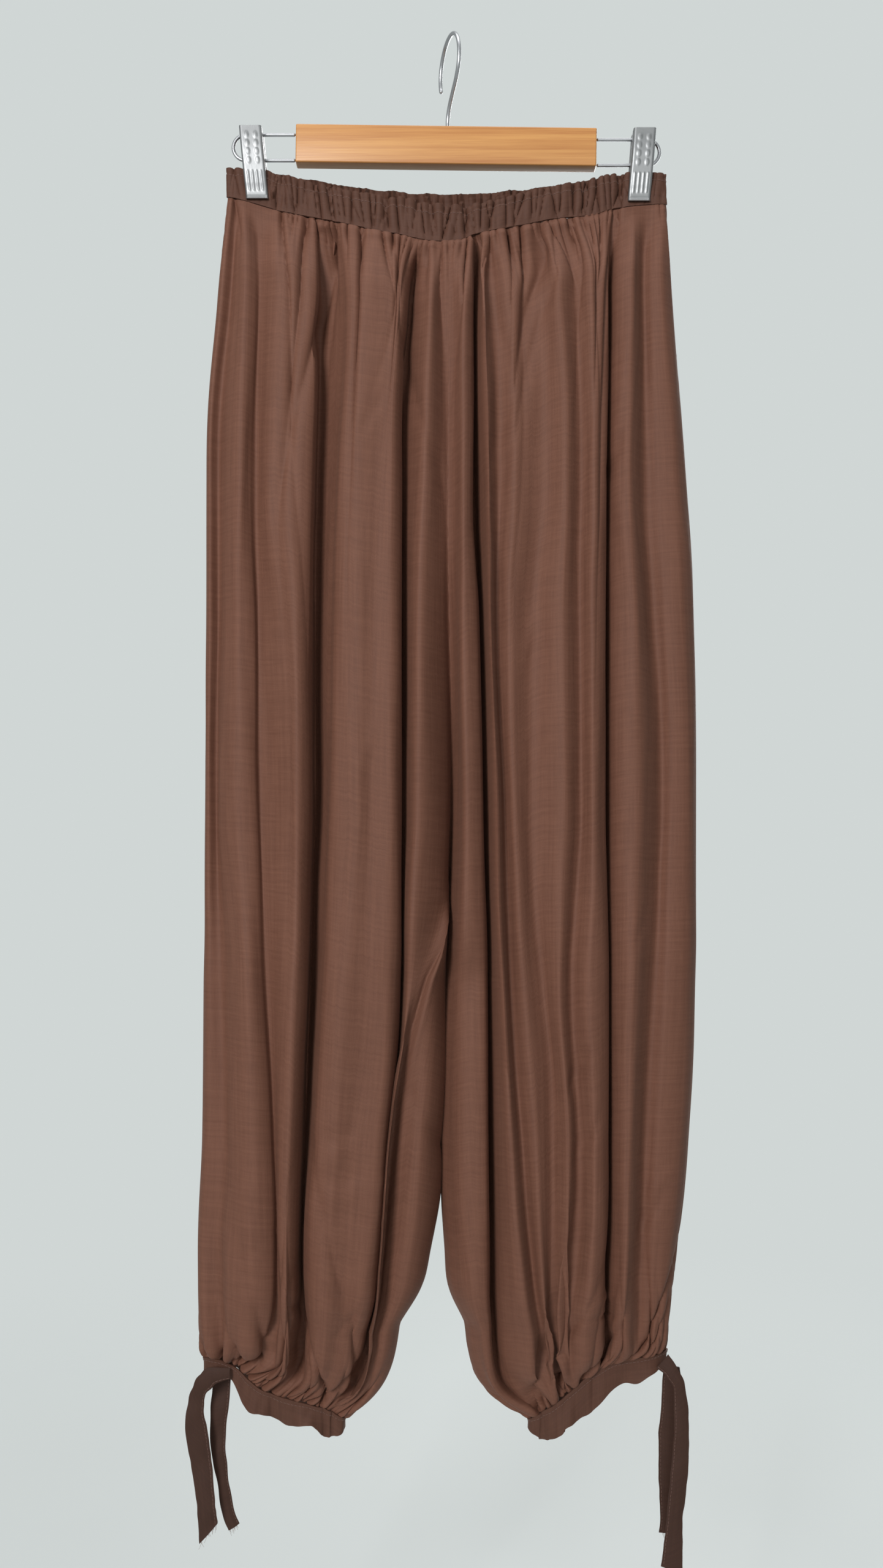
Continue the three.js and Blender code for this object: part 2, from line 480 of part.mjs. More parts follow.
// ---------------------------------------------------------------- cuffs
// Each cuff hangs from the last row of its leg's two panels.
function cuff(name, panels, ankle, hem) {
  const ring = panels.flatMap((panel) => {
    const grid = grids[panel];
    const end = grid.points.length - 1;
    return grid.points[end].slice(0, -1).map((p, c) => ({ p, t: grid.along[end][c] }));
  });
  const points = [0, 0.5, 1].map((share, r) => ring.map(({ p, t }) => {
    const seam = table(ankle.x, ankle.z, p.x) - SEAM_GAP / 2;
    const z = mix(seam, Math.min(seam - 4, table(hem.x, hem.z, p.x)), share);
    const sway = r * 0.9 * Math.sin(p.x / 7);
    return new THREE.Vector3(p.x, p.y + sway, z);
  }));
  const normals = points.map(() => ring.map(({ t }) => new THREE.Vector3(-t.y, t.x, 0).normalize()));
  const settle = (corner, r) => {
    if (r === 0) corner.z = seamHeight(ankle, corner.x, -1);
    return corner;
  };
  return mesh(name, wall(points, normals, CUFF_CLOTH, true, settle), CLOTH_LOOK);
}

// ---------------------------------------------------------------- ankle ties
// A flat strap, a row for each crossing: its outer edge (x, z), inner edge (x, z) and depth y.
const TIE_FRONT_RIGHT = [
  { xo: -168, zo: -1027, xi: -168, zi: -1035, y: -16 }, { xo: -181, zo: -1026, xi: -176, zi: -1037, y: -17 },
  { xo: -190, zo: -1031, xi: -182, zi: -1042, y: -17 }, { xo: -196, zo: -1041, xi: -187, zi: -1049, y: -16 },
  { xo: -200, zo: -1054, xi: -188, zi: -1059, y: -15 }, { xo: -202, zo: -1070, xi: -186, zi: -1071, y: -15 },
  { xo: -201, zo: -1082, xi: -184, zi: -1084, y: -15 }, { xo: -198, zo: -1099, xi: -182, zi: -1099, y: -16 },
  { xo: -195, zo: -1116, xi: -180, zi: -1117, y: -17 }, { xo: -192, zo: -1139, xi: -178, zi: -1136, y: -18 },
  { xo: -191, zo: -1161, xi: -177, zi: -1145, y: -18 }];
const TIE_BACK_RIGHT = [
  { xo: -184, zo: -1040, xi: -169, zi: -1036, y: 2 }, { xo: -184, zo: -1052, xi: -170, zi: -1048, y: 0 },
  { xo: -185, zo: -1066, xi: -171, zi: -1064, y: -2 }, { xo: -185, zo: -1084, xi: -173, zi: -1084, y: -4 },
  { xo: -182, zo: -1104, xi: -172, zi: -1104, y: -6 }, { xo: -178, zo: -1124, xi: -169, zi: -1124, y: -7 },
  { xo: -175, zo: -1143, xi: -166, zi: -1140, y: -7 }, { xo: -170, zo: -1156, xi: -162, zi: -1151, y: -7 }];
const TIE_FRONT_LEFT = [
  { xo: 171, zo: -1024, xi: 166, zi: -1029, y: -10 }, { xo: 177, zo: -1033, xi: 170, zi: -1036, y: -12 },
  { xo: 182, zo: -1047, xi: 173, zi: -1049, y: -13 }, { xo: 184, zo: -1068, xi: 173, zi: -1069, y: -14 },
  { xo: 184, zo: -1090, xi: 172, zi: -1090, y: -14 }, { xo: 183, zo: -1110, xi: 170, zi: -1110, y: -15 },
  { xo: 181, zo: -1130, xi: 168, zi: -1131, y: -15 }, { xo: 179, zo: -1151, xi: 166, zi: -1153, y: -15 },
  { xo: 179, zo: -1184, xi: 163, zi: -1180, y: -15 }];
const TIE_BACK_LEFT = [
  { xo: 180, zo: -1034, xi: 168, zi: -1031, y: 2 }, { xo: 181, zo: -1046, xi: 166.5, zi: -1044, y: 1 },
  { xo: 180, zo: -1066, xi: 165, zi: -1066, y: 0 }, { xo: 178, zo: -1092, xi: 163, zi: -1092, y: -1 },
  { xo: 177, zo: -1120, xi: 163, zi: -1120, y: -2 }, { xo: 176, zo: -1150, xi: 164, zi: -1148, y: -3 },
  { xo: 175, zo: -1160, xi: 163, zi: -1160, y: -3 }];
function tie(name, rows) {
  const points = rows.map((row) => {
    const a = new THREE.Vector3(row.xo, row.y, row.zo);
    const b = new THREE.Vector3(row.xi, row.y, row.zi);
    return [a, a.clone().lerp(b, 0.5).add(new THREE.Vector3(0, -0.6, 0)), b];
  });
  const normals = points.map((line) => line.map(() => new THREE.Vector3(0, -1, 0)));
  return mesh(name, wall(points, normals, TIE_CLOTH), CLOTH_LOOK);
}

// ---------------------------------------------------------------- hanger
const BAR = { length: 233, height: 29.4, depth: 13, centre: [-2.1, 0, -84], tilt: -0.0133, round: 1.2 };
function hangerBar() {
  const [w, h] = [BAR.length / 2 - BAR.round, BAR.height / 2 - BAR.round];
  const face = new THREE.Shape([[-w, -h], [w, -h], [w, h], [-w, h]].map(([x, z]) => new THREE.Vector2(x, z)));
  const options = { depth: BAR.depth - 2 * BAR.round, bevelEnabled: true, bevelSegments: 2,
    bevelSize: BAR.round, bevelThickness: BAR.round, steps: 1 };
  const geometry = new THREE.ExtrudeGeometry(face, options);
  geometry.translate(0, 0, BAR.round - BAR.depth / 2).rotateX(Math.PI / 2);
  const made = mesh('hanger_bar', geometry, WOOD_LOOK);
  made.position.set(...BAR.centre);
  made.rotation.y = -BAR.tilt;
  return made;
}
function wire(name, points, radius, steps, sides = 8) {
  const curve = new THREE.CatmullRomCurve3(points, false, 'centripetal');
  const round = new THREE.Shape();
  round.absarc(0, 0, radius, 0, 2 * Math.PI);
  const options = { steps, curveSegments: sides / 2, extrudePath: curve, bevelEnabled: false };
  const geometry = new THREE.ExtrudeGeometry(round, options);
  return mesh(name, geometry, STEEL_LOOK);
}
// The hook lies in a plane turned away from the bar's cross plane. s runs to the front in it.
const HOOK = { radius: 23.5, centreS: 2, turn: 17.6, shankS: -3, foot: -68.4 };
function hook() {
  const turn = THREE.MathUtils.degToRad(HOOK.turn);
  const at = (s, z) => new THREE.Vector3(s * Math.sin(turn), -s * Math.cos(turn), z);
  const centreZ = WIRE_R - HOOK.radius;
  const points = [];
  for (let degrees = 205; degrees >= -15; degrees -= 20) {
    const a = THREE.MathUtils.degToRad(degrees);
    points.push(at(HOOK.centreS + HOOK.radius * Math.cos(a), centreZ + HOOK.radius * Math.sin(a)));
  }
  const bend = [[19, -37], [8.5, -46], [1, -53], [-2.6, -60], [HOOK.shankS, HOOK.foot]];
  for (const [s, z] of bend) points.push(at(s, z));
  return wire('hook', points, WIRE_R, 44);
}
// Each side wire leaves the bar's end, turns round in a U, and goes back in.
function sideWire(name, side) {
  const barEnd = BAR.centre[0] + side * (BAR.length / 2 + 0.5);
  const lift = -side * ROD_LIFT;
  const bend = (ROD_Z[0] - ROD_Z[1]) / 2;
  const far = side > 0 ? ROD_FAR.left - bend : ROD_FAR.right + bend;
  const zMid = (ROD_Z[0] + ROD_Z[1]) / 2 + lift;
  const points = [];
  for (let i = 0; i <= 4; i += 1) points.push(new THREE.Vector3(mix(barEnd, far, i / 4), 0, zMid + bend));
  for (let d = 60; d >= -60; d -= 30) {
    const a = THREE.MathUtils.degToRad(d);
    points.push(new THREE.Vector3(far + side * bend * Math.cos(a), 0, zMid + bend * Math.sin(a)));
  }
  for (let i = 4; i >= 0; i -= 1) points.push(new THREE.Vector3(mix(barEnd, far, i / 4), 0, zMid - bend));
  return wire(name, points, WIRE_R * 0.9, 34, 6);
}
// A clip jaw: a thin plate with two folded flanges. Its profile across, from one flange round
// to the other, is carried down a path that is open at the top and closes on the cloth.
const CLIP = { width: 16.6, sheet: 0.8 };
const JAW = [{ z: 0, y: 9.4, fold: 6.9 }, { z: -14, y: 9.8, fold: 7.5 }, { z: -25, y: 8.8, fold: 6.4 },
  { z: -31, y: 8, fold: 3.6 }, { z: -42, y: 6, fold: 1.8 }, { z: -51, y: 4.6, fold: 0.7 },
  { z: -55, y: 6.2, fold: 0.7 }];
const CLIPS = [
  { name: 'clip_right', centreX: -153.5, topZ: -70.5, leanX: -0.09 },
  { name: 'clip_left', centreX: 151.5, topZ: -72.3, leanX: 0.075 },
];
function jaw(name, { centreX, topZ, leanX }, front) {
  const half = CLIP.width / 2;
  const section = [[-half, -1], [-half, 0], [0, 0], [half, 0], [half, -1]];
  const points = JAW.map(({ z, y, fold }) => section.map(([x, inward]) => (
    new THREE.Vector3(centreX + x + leanX * z, front * (y + inward * fold), topZ + z))));
  const corner = [[-1, 0], [-1, 1], [0, 1], [1, 1], [1, 0]];
  const normals = JAW.map(() => corner.map(([x, y]) => new THREE.Vector3(x, front * y, 0)));
  return mesh(name, wall(points, normals, CLIP.sheet), STEEL_LOOK);
}

// ---------------------------------------------------------------- the whole
const pants = new THREE.Group();
pants.add(waistband());
for (const name of ['front_right', 'front_left', 'back_right', 'back_left']) pants.add(...bodyPanel(name));
pants.add(cuff('cuff_right', ['front_right', 'back_right'], ANKLE_RIGHT, CUFF_RIGHT));
pants.add(cuff('cuff_left', ['front_left', 'back_left'], ANKLE_LEFT, CUFF_LEFT));
pants.add(tie('tie_right_front', TIE_FRONT_RIGHT));
pants.add(tie('tie_right_back', TIE_BACK_RIGHT));
pants.add(tie('tie_left_front', TIE_FRONT_LEFT));
pants.add(tie('tie_left_back', TIE_BACK_LEFT));
pants.add(hangerBar());
pants.add(hook());
pants.add(sideWire('side_wire_right', -1));
pants.add(sideWire('side_wire_left', 1));
for (const clip of CLIPS) {
  pants.add(jaw(`${clip.name}_front`, clip, -1));
  pants.add(jaw(`${clip.name}_back`, clip, 1));
}
export default pants;
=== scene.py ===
# %% [markdown]
# # Harem pants on a clip hanger
# A pair of wide brown harem pants hangs flat from the two clips of a wooden hanger. The CAD
# model holds every piece as a plain wall. This script makes the cloth look like cloth: each
# panel is worked out again from its folds, finer, with gathers, seams, stitches and threads.
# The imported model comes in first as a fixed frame, in metres, and nothing in it is moved.

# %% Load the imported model
import math

import bmesh
import bpy
import numpy as np
from mathutils import Matrix, Vector


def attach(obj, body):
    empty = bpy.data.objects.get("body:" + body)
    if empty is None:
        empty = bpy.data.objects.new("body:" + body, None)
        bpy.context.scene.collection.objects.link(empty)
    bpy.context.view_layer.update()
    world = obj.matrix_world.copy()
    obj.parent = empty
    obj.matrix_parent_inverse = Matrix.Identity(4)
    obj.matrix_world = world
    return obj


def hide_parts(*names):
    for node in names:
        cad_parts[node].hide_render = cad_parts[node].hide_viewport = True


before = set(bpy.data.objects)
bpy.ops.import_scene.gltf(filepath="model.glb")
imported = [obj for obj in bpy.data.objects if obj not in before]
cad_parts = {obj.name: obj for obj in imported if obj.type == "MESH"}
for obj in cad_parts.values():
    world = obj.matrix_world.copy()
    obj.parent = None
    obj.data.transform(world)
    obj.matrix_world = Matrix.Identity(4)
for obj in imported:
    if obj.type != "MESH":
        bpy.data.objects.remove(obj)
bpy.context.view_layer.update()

MM = 0.001

# %% [markdown]
# ## Camera
# The camera stands level with the middle of the garment, a good metre in front of it, and
# looks straight at it. Its long side is upright, so the sensor width belongs to the height.

# %% Camera
VIEW_DISTANCE = 1.05
VIEW_HEIGHT = -0.579          # level of the middle of the frame
VIEW_SIDE = -0.0057
VIEW_SPAN = 1.221             # height of what the frame takes in at the garment
SENSOR = 36.0                 # millimetres, along the frame's long side


def make_camera():
    data = bpy.data.cameras.new("camera")
    data.sensor_width = SENSOR
    data.lens = SENSOR * VIEW_DISTANCE / VIEW_SPAN
    camera = bpy.data.objects.new("camera", data)
    camera.location = (VIEW_SIDE, -VIEW_DISTANCE, VIEW_HEIGHT)
    camera.rotation_euler = (math.pi / 2, 0, 0)
    bpy.context.scene.collection.objects.link(camera)
    bpy.context.scene.camera = camera
    return camera


camera = make_camera()
print("camera lens", round(camera.data.lens, 1), "mm")

# %% [markdown]
# ## Numbers that wander
# Cloth is never even. A few sines with seeded phases make a smooth wander that is the same
# on each run, and a table of named sizes is read with a curve that never overshoots it.

# %% Smooth helpers
def monotone(knots, values, x):
    """Value at x of a smooth curve through (knots, values). Between two knots it goes from the
    left tangent line to the right one with weight t*t*(3 - 2t), and a knot that is a peak or a
    dip has tangent 0, so the curve never leaves the range of its two neighbours."""
    knots, values = np.asarray(knots, float), np.asarray(values, float)
    slope = np.diff(values) / np.diff(knots)
    product = slope[:-1] * slope[1:]
    total = np.where(product > 0, slope[:-1] + slope[1:], 1.0)
    tangent = np.concatenate([slope[:1], np.where(product > 0, 2 * product / total, 0), slope[-1:]])
    i = np.clip(np.searchsorted(knots, x) - 1, 0, len(knots) - 2)
    width = knots[i + 1] - knots[i]
    t = np.clip((x - knots[i]) / width, 0, 1)
    left = values[i] + tangent[i] * width * t
    right = values[i + 1] - tangent[i + 1] * width * (1 - t)
    return left + (right - left) * t * t * (3 - 2 * t)


def smoothstep(t):
    """3t^2 - 2t^3, held at 0 below 0 and at 1 above 1."""
    t = np.clip(t, 0, 1)
    return t * t * (3 - 2 * t)


def mix(a, b, t):
    """a + (b - a) * t: the value at share t of the way from a to b."""
    return a + (b - a) * t


def wander(x, size, seed, waves=5):
    """A smooth wander of about -1 to 1: a sum of sines with wavelengths of 0.9 to 3 times size
    and seeded phases, divided by the root of their number."""
    rng = np.random.default_rng(seed)
    total = 0.0
    for _ in range(waves):
        wavelength = size * rng.uniform(0.9, 3.0)
        total = total + np.sin(2 * np.pi * x / wavelength + rng.uniform(0, 2 * np.pi))
    return total / math.sqrt(waves)


def unit(v):
    """Vectors divided by their length."""
    return v / np.maximum(np.linalg.norm(v, axis=-1, keepdims=True), 1e-12)


# %% [markdown]
# ## From a grid of points to a piece of cloth
# Every piece of cloth here is one grid of points on its middle surface. The wall function
# moves the grid out and in by half a thickness and closes the four edges, which gives a thin
# shell with true edges. It also lays a UV map in metres, along the cloth and down it.

# %% Grids, normals and walls
EDGE_ANGLE = 70               # degrees past which the edge of a wall is shown as one


def grid_normals(points, closed=False):
    """Unit normal at each point of a grid (rows, columns, 3): the cross product of the
    differences down and across. A closed grid joins its last column to its first."""
    down = np.gradient(points, axis=0)
    if closed:
        across = np.roll(points, -1, axis=1) - np.roll(points, 1, axis=1)
    else:
        across = np.gradient(points, axis=1)
    return unit(np.cross(down, across))


def add_mesh(name, vertices, faces, uvs=None, sharp=None):
    """Makes a smooth-shaded object at the origin from arrays in metres. uvs has one row for
    each vertex; sharp is the angle in degrees past which an edge is shown as one."""
    mesh = bpy.data.meshes.new(name)
    mesh.from_pydata(np.asarray(vertices, float).tolist(), [], [list(map(int, f)) for f in faces])
    mesh.shade_smooth()
    if sharp:
        mesh.set_sharp_from_angle(angle=math.radians(sharp))
    if uvs is not None:
        layer = mesh.uv_layers.new(name="cloth")
        corners = np.zeros(len(mesh.loops), dtype=np.int64)
        mesh.loops.foreach_get("vertex_index", corners)
        layer.data.foreach_set("uv", np.asarray(uvs)[corners].astype(np.float32).ravel())
    made = bpy.data.objects.new(name, mesh)
    bpy.context.scene.collection.objects.link(made)
    return made


def arc_lengths(points, axis):
    """Running length along one axis of a grid, starting at 0."""
    steps = np.linalg.norm(np.diff(points, axis=axis), axis=-1)
    zero = np.zeros_like(np.take(steps, [0], axis=axis))
    return np.concatenate([zero, np.cumsum(steps, axis=axis)], axis=axis)


def wall(name, points, thickness, closed=False):
    """A closed shell round a grid in millimetres: the grid moved by plus and minus half the
    thickness along its normals, joined round its edges."""
    rows, cols = points.shape[:2]
    normals = grid_normals(points, closed)
    outer = points + normals * thickness / 2
    inner = points - normals * thickness / 2
    vertices = np.concatenate([outer.reshape(-1, 3), inner.reshape(-1, 3)]) * MM
    count = rows * cols
    ids = np.arange(count).reshape(rows, cols)
    if closed:
        ids = np.concatenate([ids, ids[:, :1]], axis=1)
    a, b, c, d = ids[:-1, :-1], ids[:-1, 1:], ids[1:, 1:], ids[1:, :-1]
    front = np.stack([a, d, c, b], -1).reshape(-1, 4)
    behind = np.stack([a, b, c, d], -1).reshape(-1, 4) + count
    top, bottom = ids[0], ids[-1]
    rims = [np.stack([top[:-1], top[1:], top[1:] + count, top[:-1] + count], -1),
            np.stack([bottom[1:], bottom[:-1], bottom[:-1] + count, bottom[1:] + count], -1)]
    if not closed:
        left, right = ids[:, 0], ids[:, -1]
        rims.append(np.stack([left[1:], left[:-1], left[:-1] + count, left[1:] + count], -1))
        rims.append(np.stack([right[:-1], right[1:], right[1:] + count, right[:-1] + count], -1))
    faces = np.concatenate([front, behind] + rims)
    u, v = arc_lengths(points, 1) * MM, arc_lengths(points, 0) * MM
    uv = np.stack([np.broadcast_to(u[rows // 2], u.shape), v], -1).reshape(-1, 2)
    return add_mesh(name, vertices, face_out(vertices, faces), np.concatenate([uv, uv]), EDGE_ANGLE)


def face_out(vertices, faces):
    """Turns every face over when the volume that they close comes out negative."""
    a, b, c, d = (vertices[faces[:, k]] for k in range(4))
    volume = np.einsum("ij,ij->", a, np.cross(b, c)) + np.einsum("ij,ij->", a, np.cross(c, d))
    return faces if volume > 0 else faces[:, ::-1]


# %% [markdown]
# ## The cut of the garment
# The pants are two wide legs sewn to an elastic waistband, with a crotch that hangs 65 cm
# below the hook. The sizes below are the CAD model's own, but for narrow hollows that are
# deeper here: heights of the seams, half depth of the garment, and one row for each fold. A
# fold row gives x in millimetres at the waist seam, at ten levels and at the cuff. out is how
# far the fold stands out from the even form of the garment, and y gives the depth itself
# where the cloth lies on the inner wall of a leg.

# %% Seams and levels
CROTCH = -650.0
LEVELS = [-208, -351, -446, -588, CROTCH, -680, -731, -850, -945, -997]
SPLIT = dict(above=40.0, reach=120.0)   # where one form for both legs turns into one for each
# Half depth of the garment, and the share of its folds' out, at the waist, levels and cuff.
DEPTH = [16, 27, 33, 36, 40, 40, 40.5, 41, 41, 39, 31, 13]
FOLD_SCALE = [0.5, 0.8, 0.9, 1, 1, 1, 1, 1, 1, 1, 0.75, 0.4]
SEWN_IN = dict(least=0.1, reach=24.0)   # folds fade to this share over this way to a seam
BAND_INNER = 2.3              # half the gap between the two sides of the flat waistband
WAIST_SWELL = 13.0            # how far the legs' tops bulge between the clips
BETWEEN_CLIPS = 132.0         # half width of the stretch that bulges
FORM_POWER = 3.2              # how square the even form is at its sides: 2 would be an ellipse
WAIST_REACH = 55.0            # way below the waist seam over which the flat oval opens
CLIP_X = 149.0                # how far from the middle the clips hold the waistband
SEAM_GAP = 0.3                # between two pieces that meet at a seam

WAIST_FRONT = dict(x=[-174, -155, -124, -87, -40, 0, 22, 56, 88, 110, 130, 171],
                   z=[-122, -127, -136, -145, -156, -162, -156, -149, -142, -139, -132, -128])
WAIST_BACK = dict(x=[-174, -120, -60, 0, 60, 120, 171], z=[-122, -130, -137, -140, -138, -132, -128])
BAND_TOP_FRONT = dict(x=[-174, -140, -111, -85, -59, -34, 5, 46, 72, 97, 123, 138, 171],
                      z=[-100, -103, -112, -119, -125, -129, -134, -127, -120, -114, -107, -104, -104])
BAND_TOP_BACK = dict(x=[-174, -110, -50, 0, 50, 110, 171], z=[-100, -106, -112, -114, -112, -107, -104])
ANKLE_RIGHT = dict(x=[-190, -184, -168, -154, -139, -123, -103, -90, -80],
                   z=[-1026, -1024, -1027, -1038, -1048, -1053, -1059, -1065, -1073])
ANKLE_LEFT = dict(x=[61, 72, 85, 97, 115, 133, 154, 170],
                  z=[-1074, -1065, -1055, -1044, -1030, -1023, -1021, -1020])
CUFF_RIGHT = dict(x=[-190, -168, -158, -151, -139, -121, -108, -102, -95, -90, -80],
                  z=[-1036, -1038, -1056, -1062, -1065, -1074, -1071, -1075, -1083, -1084, -1079])
CUFF_LEFT = dict(x=[61, 66, 73, 78, 92, 110, 130, 146, 162, 170],
                 z=[-1079, -1083, -1087, -1085, -1073, -1062, -1043, -1039, -1030, -1028])


def seam_z(seam, x):
    """Height of a seam's table at x."""
    return monotone(seam["x"], seam["z"], x)


def fold(name, x, out=0.0, y=None):
    """One row of the fold tables."""
    return dict(name=name, x=np.array(x, float), out=out, y=None if y is None else np.array(y, float))


SEAMS = {
    "centre_front": fold("centre_front", x=[0, 0, -1, 0, 2, 0, 0, 0, 0, 0, 0, 0],
                         y=[-16, -22, -22, -17, -9, -3.2, -1, 0, 0, 0, 0, 0]),
    "centre_back": fold("centre_back", x=[0, 0, 0, 0, 1, 0, 0, 0, 0, 0, 0, 0],
                        y=[17, 22, 24, 18, 10, 3.2, 1, 0, 0, 0, 0, 0]),
    "inseam_right": fold("inseam_right",
                         x=[-0.4, -0.4, -0.4, -0.4, -0.4, -0.2, -0.4, -19, -43, -51, -59, -89],
                         y=[0, 0, 0, 0, 0, 0, -24, -33, -22, -18, -17, -7.5]),
    "inseam_left": fold("inseam_left",
                        x=[0.4, 0.4, 0.4, 0.4, 0.4, 0.2, -0.6, -2.6, -6.2, -3, 12, 62],
                        y=[0, 0, 0, 0, 0, 0, -1, -3, -2, 0, 0, 0]),
    "side_right": fold("side_right",
                       x=[-172, -180, -188, -188, -189, -189, -189, -190, -191, -194, -194, -190],
                       y=[0] * 12),
    "side_left": fold("side_left",
                      x=[169, 174, 185, 190, 192, 192, 192, 191, 186, 177, 171, 169], y=[0] * 12),
}

# %% Fold tables, from the centre seam to the side seam
FRONT_RIGHT = [
    fold("inner slope", x=[-5, -5, -5, -5, -2, -3, -6.5, -23, -46, -53, -60, -91],
         y=[-17, -24, -25, -24, -22, -22, -26.5, -36, -24, -20, -17, -8]),
    fold("inner roll", out=5, x=[-11, -14, -19, -23, -24, -27, -28.5, -31, -47, -54, -61, -92]),
    fold("inner hollow", out=-20, x=[-21, -28, -34, -35, -35, -36.5, -37, -37.5, -48, -55, -62, -95]),
    fold("under the main edge", out=-27, x=[-23, -30, -38, -38, -38, -39, -39.5, -40, -49, -57, -64, -97]),
    fold("main roll edge", out=-4, x=[-25, -32, -38, -38, -38, -38, -38, -39, -48, -56, -66, -99]),
    fold("main roll shoulder", out=5, x=[-29, -37, -44, -44, -44, -45, -45.5, -46, -54, -63, -74, -104]),
    fold("main roll dip", out=4, x=[-44, -44, -54, -58, -60, -61, -61.5, -63, -75, -82, -87, -110]),
    fold("main roll crest", out=7, x=[-62, -68, -72, -73, -71, -75, -77, -81, -89, -95, -98, -117]),
    fold("main roll foot", out=1, x=[-79, -79, -85, -87, -90, -92, -93, -95, -103, -107, -106, -124]),
    fold("deep hollow wall", out=-12, x=[-86, -84, -90, -93, -95, -97, -98, -101, -108, -113, -111, -130]),
    fold("deep hollow", out=-33,
         x=[-102, -102.5, -106, -107.5, -107.5, -109, -109.5, -111, -115, -117, -116, -136]),
    fold("second roll edge", out=-4,
         x=[-105, -104, -108, -109, -109, -110, -110.5, -112, -117, -119, -119, -140]),
    fold("second roll crest", out=6,
         x=[-119, -120, -124, -119, -117, -117, -117, -119, -123, -125, -125, -145]),
    fold("second roll foot", out=2,
         x=[-133, -135, -140, -131, -124, -125, -125.5, -127, -130, -131, -131, -152]),
    fold("outer hollow", out=-9,
         x=[-149, -150, -152, -150, -148, -146, -144.5, -142, -136, -134, -135, -157]),
    fold("third roll edge", out=-3,
         x=[-153, -153, -156, -153, -151, -149, -147.5, -145, -139, -137, -138, -160]),
    fold("third roll crest", out=5,
         x=[-158, -160, -162, -163, -163, -160, -157.5, -154, -152, -152, -151, -165]),
    fold("third roll foot", out=0,
         x=[-162, -166, -172, -173, -176, -172, -168.5, -165, -165, -170, -169, -171]),
    fold("side hollow", out=-8,
         x=[-165, -172, -180, -180, -181, -180, -178.5, -176, -174, -177, -177, -177]),
    fold("side roll", out=2, x=[-169, -178, -185, -185, -186, -186, -185.5, -185, -186, -190, -189, -183]),
]
FRONT_LEFT = [
    fold("inner slope", x=[5, 5, 4, 5, 7, 5, 4, 2.5, 1, 3, 17, 64],
         y=[-17, -24, -25, -24, -22, -20, -19.5, -19, -18, -17, -14, -5]),
    fold("inner roll", out=5, x=[10, 11, 11, 11, 13, 12, 11.5, 11, 11, 17, 26, 67]),
    fold("inner roll edge", out=-3, x=[17, 18, 18, 22, 25, 26, 27, 28, 29, 30, 33, 70]),
    fold("black hollow", out=-31, x=[18, 19, 19, 23, 25, 27, 28, 29, 31, 32, 35, 72]),
    fold("narrow roll foot", out=-13, x=[21, 22, 24, 28, 31, 32, 33, 35, 38, 40, 42, 75]),
    fold("narrow roll", out=5, x=[25, 27, 31, 32, 37, 38, 39, 42, 48, 56, 64, 78]),
    fold("soft hollow", out=-8, x=[31, 35, 39, 37, 43, 45, 46, 48, 57, 65, 73, 83]),
    fold("low roll", out=1, x=[40, 48, 51, 47, 50, 53, 54.5, 58, 67, 72, 78, 86]),
    fold("slanting hollow", out=-7, x=[62, 72, 74, 66, 65, 66, 67.5, 73, 81, 80, 82, 89]),
    fold("slanting roll", out=5, x=[70, 86, 91, 88, 89, 87, 86, 85, 92, 90, 87, 93]),
    fold("shallow hollow", out=-4, x=[86, 100, 103, 102, 103, 100, 97.5, 95, 101, 98, 93, 97]),
    fold("third roll crest", out=7, x=[99, 112, 113, 111, 111, 111, 110, 108, 112, 109, 104, 102]),
    fold("third roll edge", out=-3, x=[127, 126, 123, 122, 121, 122, 122.5, 123, 123, 121, 118, 108]),
    fold("sharp hollow", out=-28, x=[128.5, 127, 124, 123, 123, 123, 123.5, 124, 124, 123, 120, 110.5]),
    fold("outer roll foot", out=-6, x=[133, 132, 129, 129, 129, 129, 129, 129, 129, 128, 124, 115]),
    fold("outer roll", out=5, x=[143, 143, 140, 144, 146, 144, 143, 141, 138, 136, 134, 123]),
    fold("outer hollow", out=-11, x=[153, 154, 155, 160, 166, 164, 162.5, 159, 153, 149, 146, 134]),
    fold("side roll foot", out=-3, x=[158, 160, 165, 169, 173, 171, 170, 168, 162, 157, 154, 143]),
    fold("side roll", out=3, x=[164, 168, 177, 181, 184, 184, 184, 183, 178, 169, 164, 157]),
]
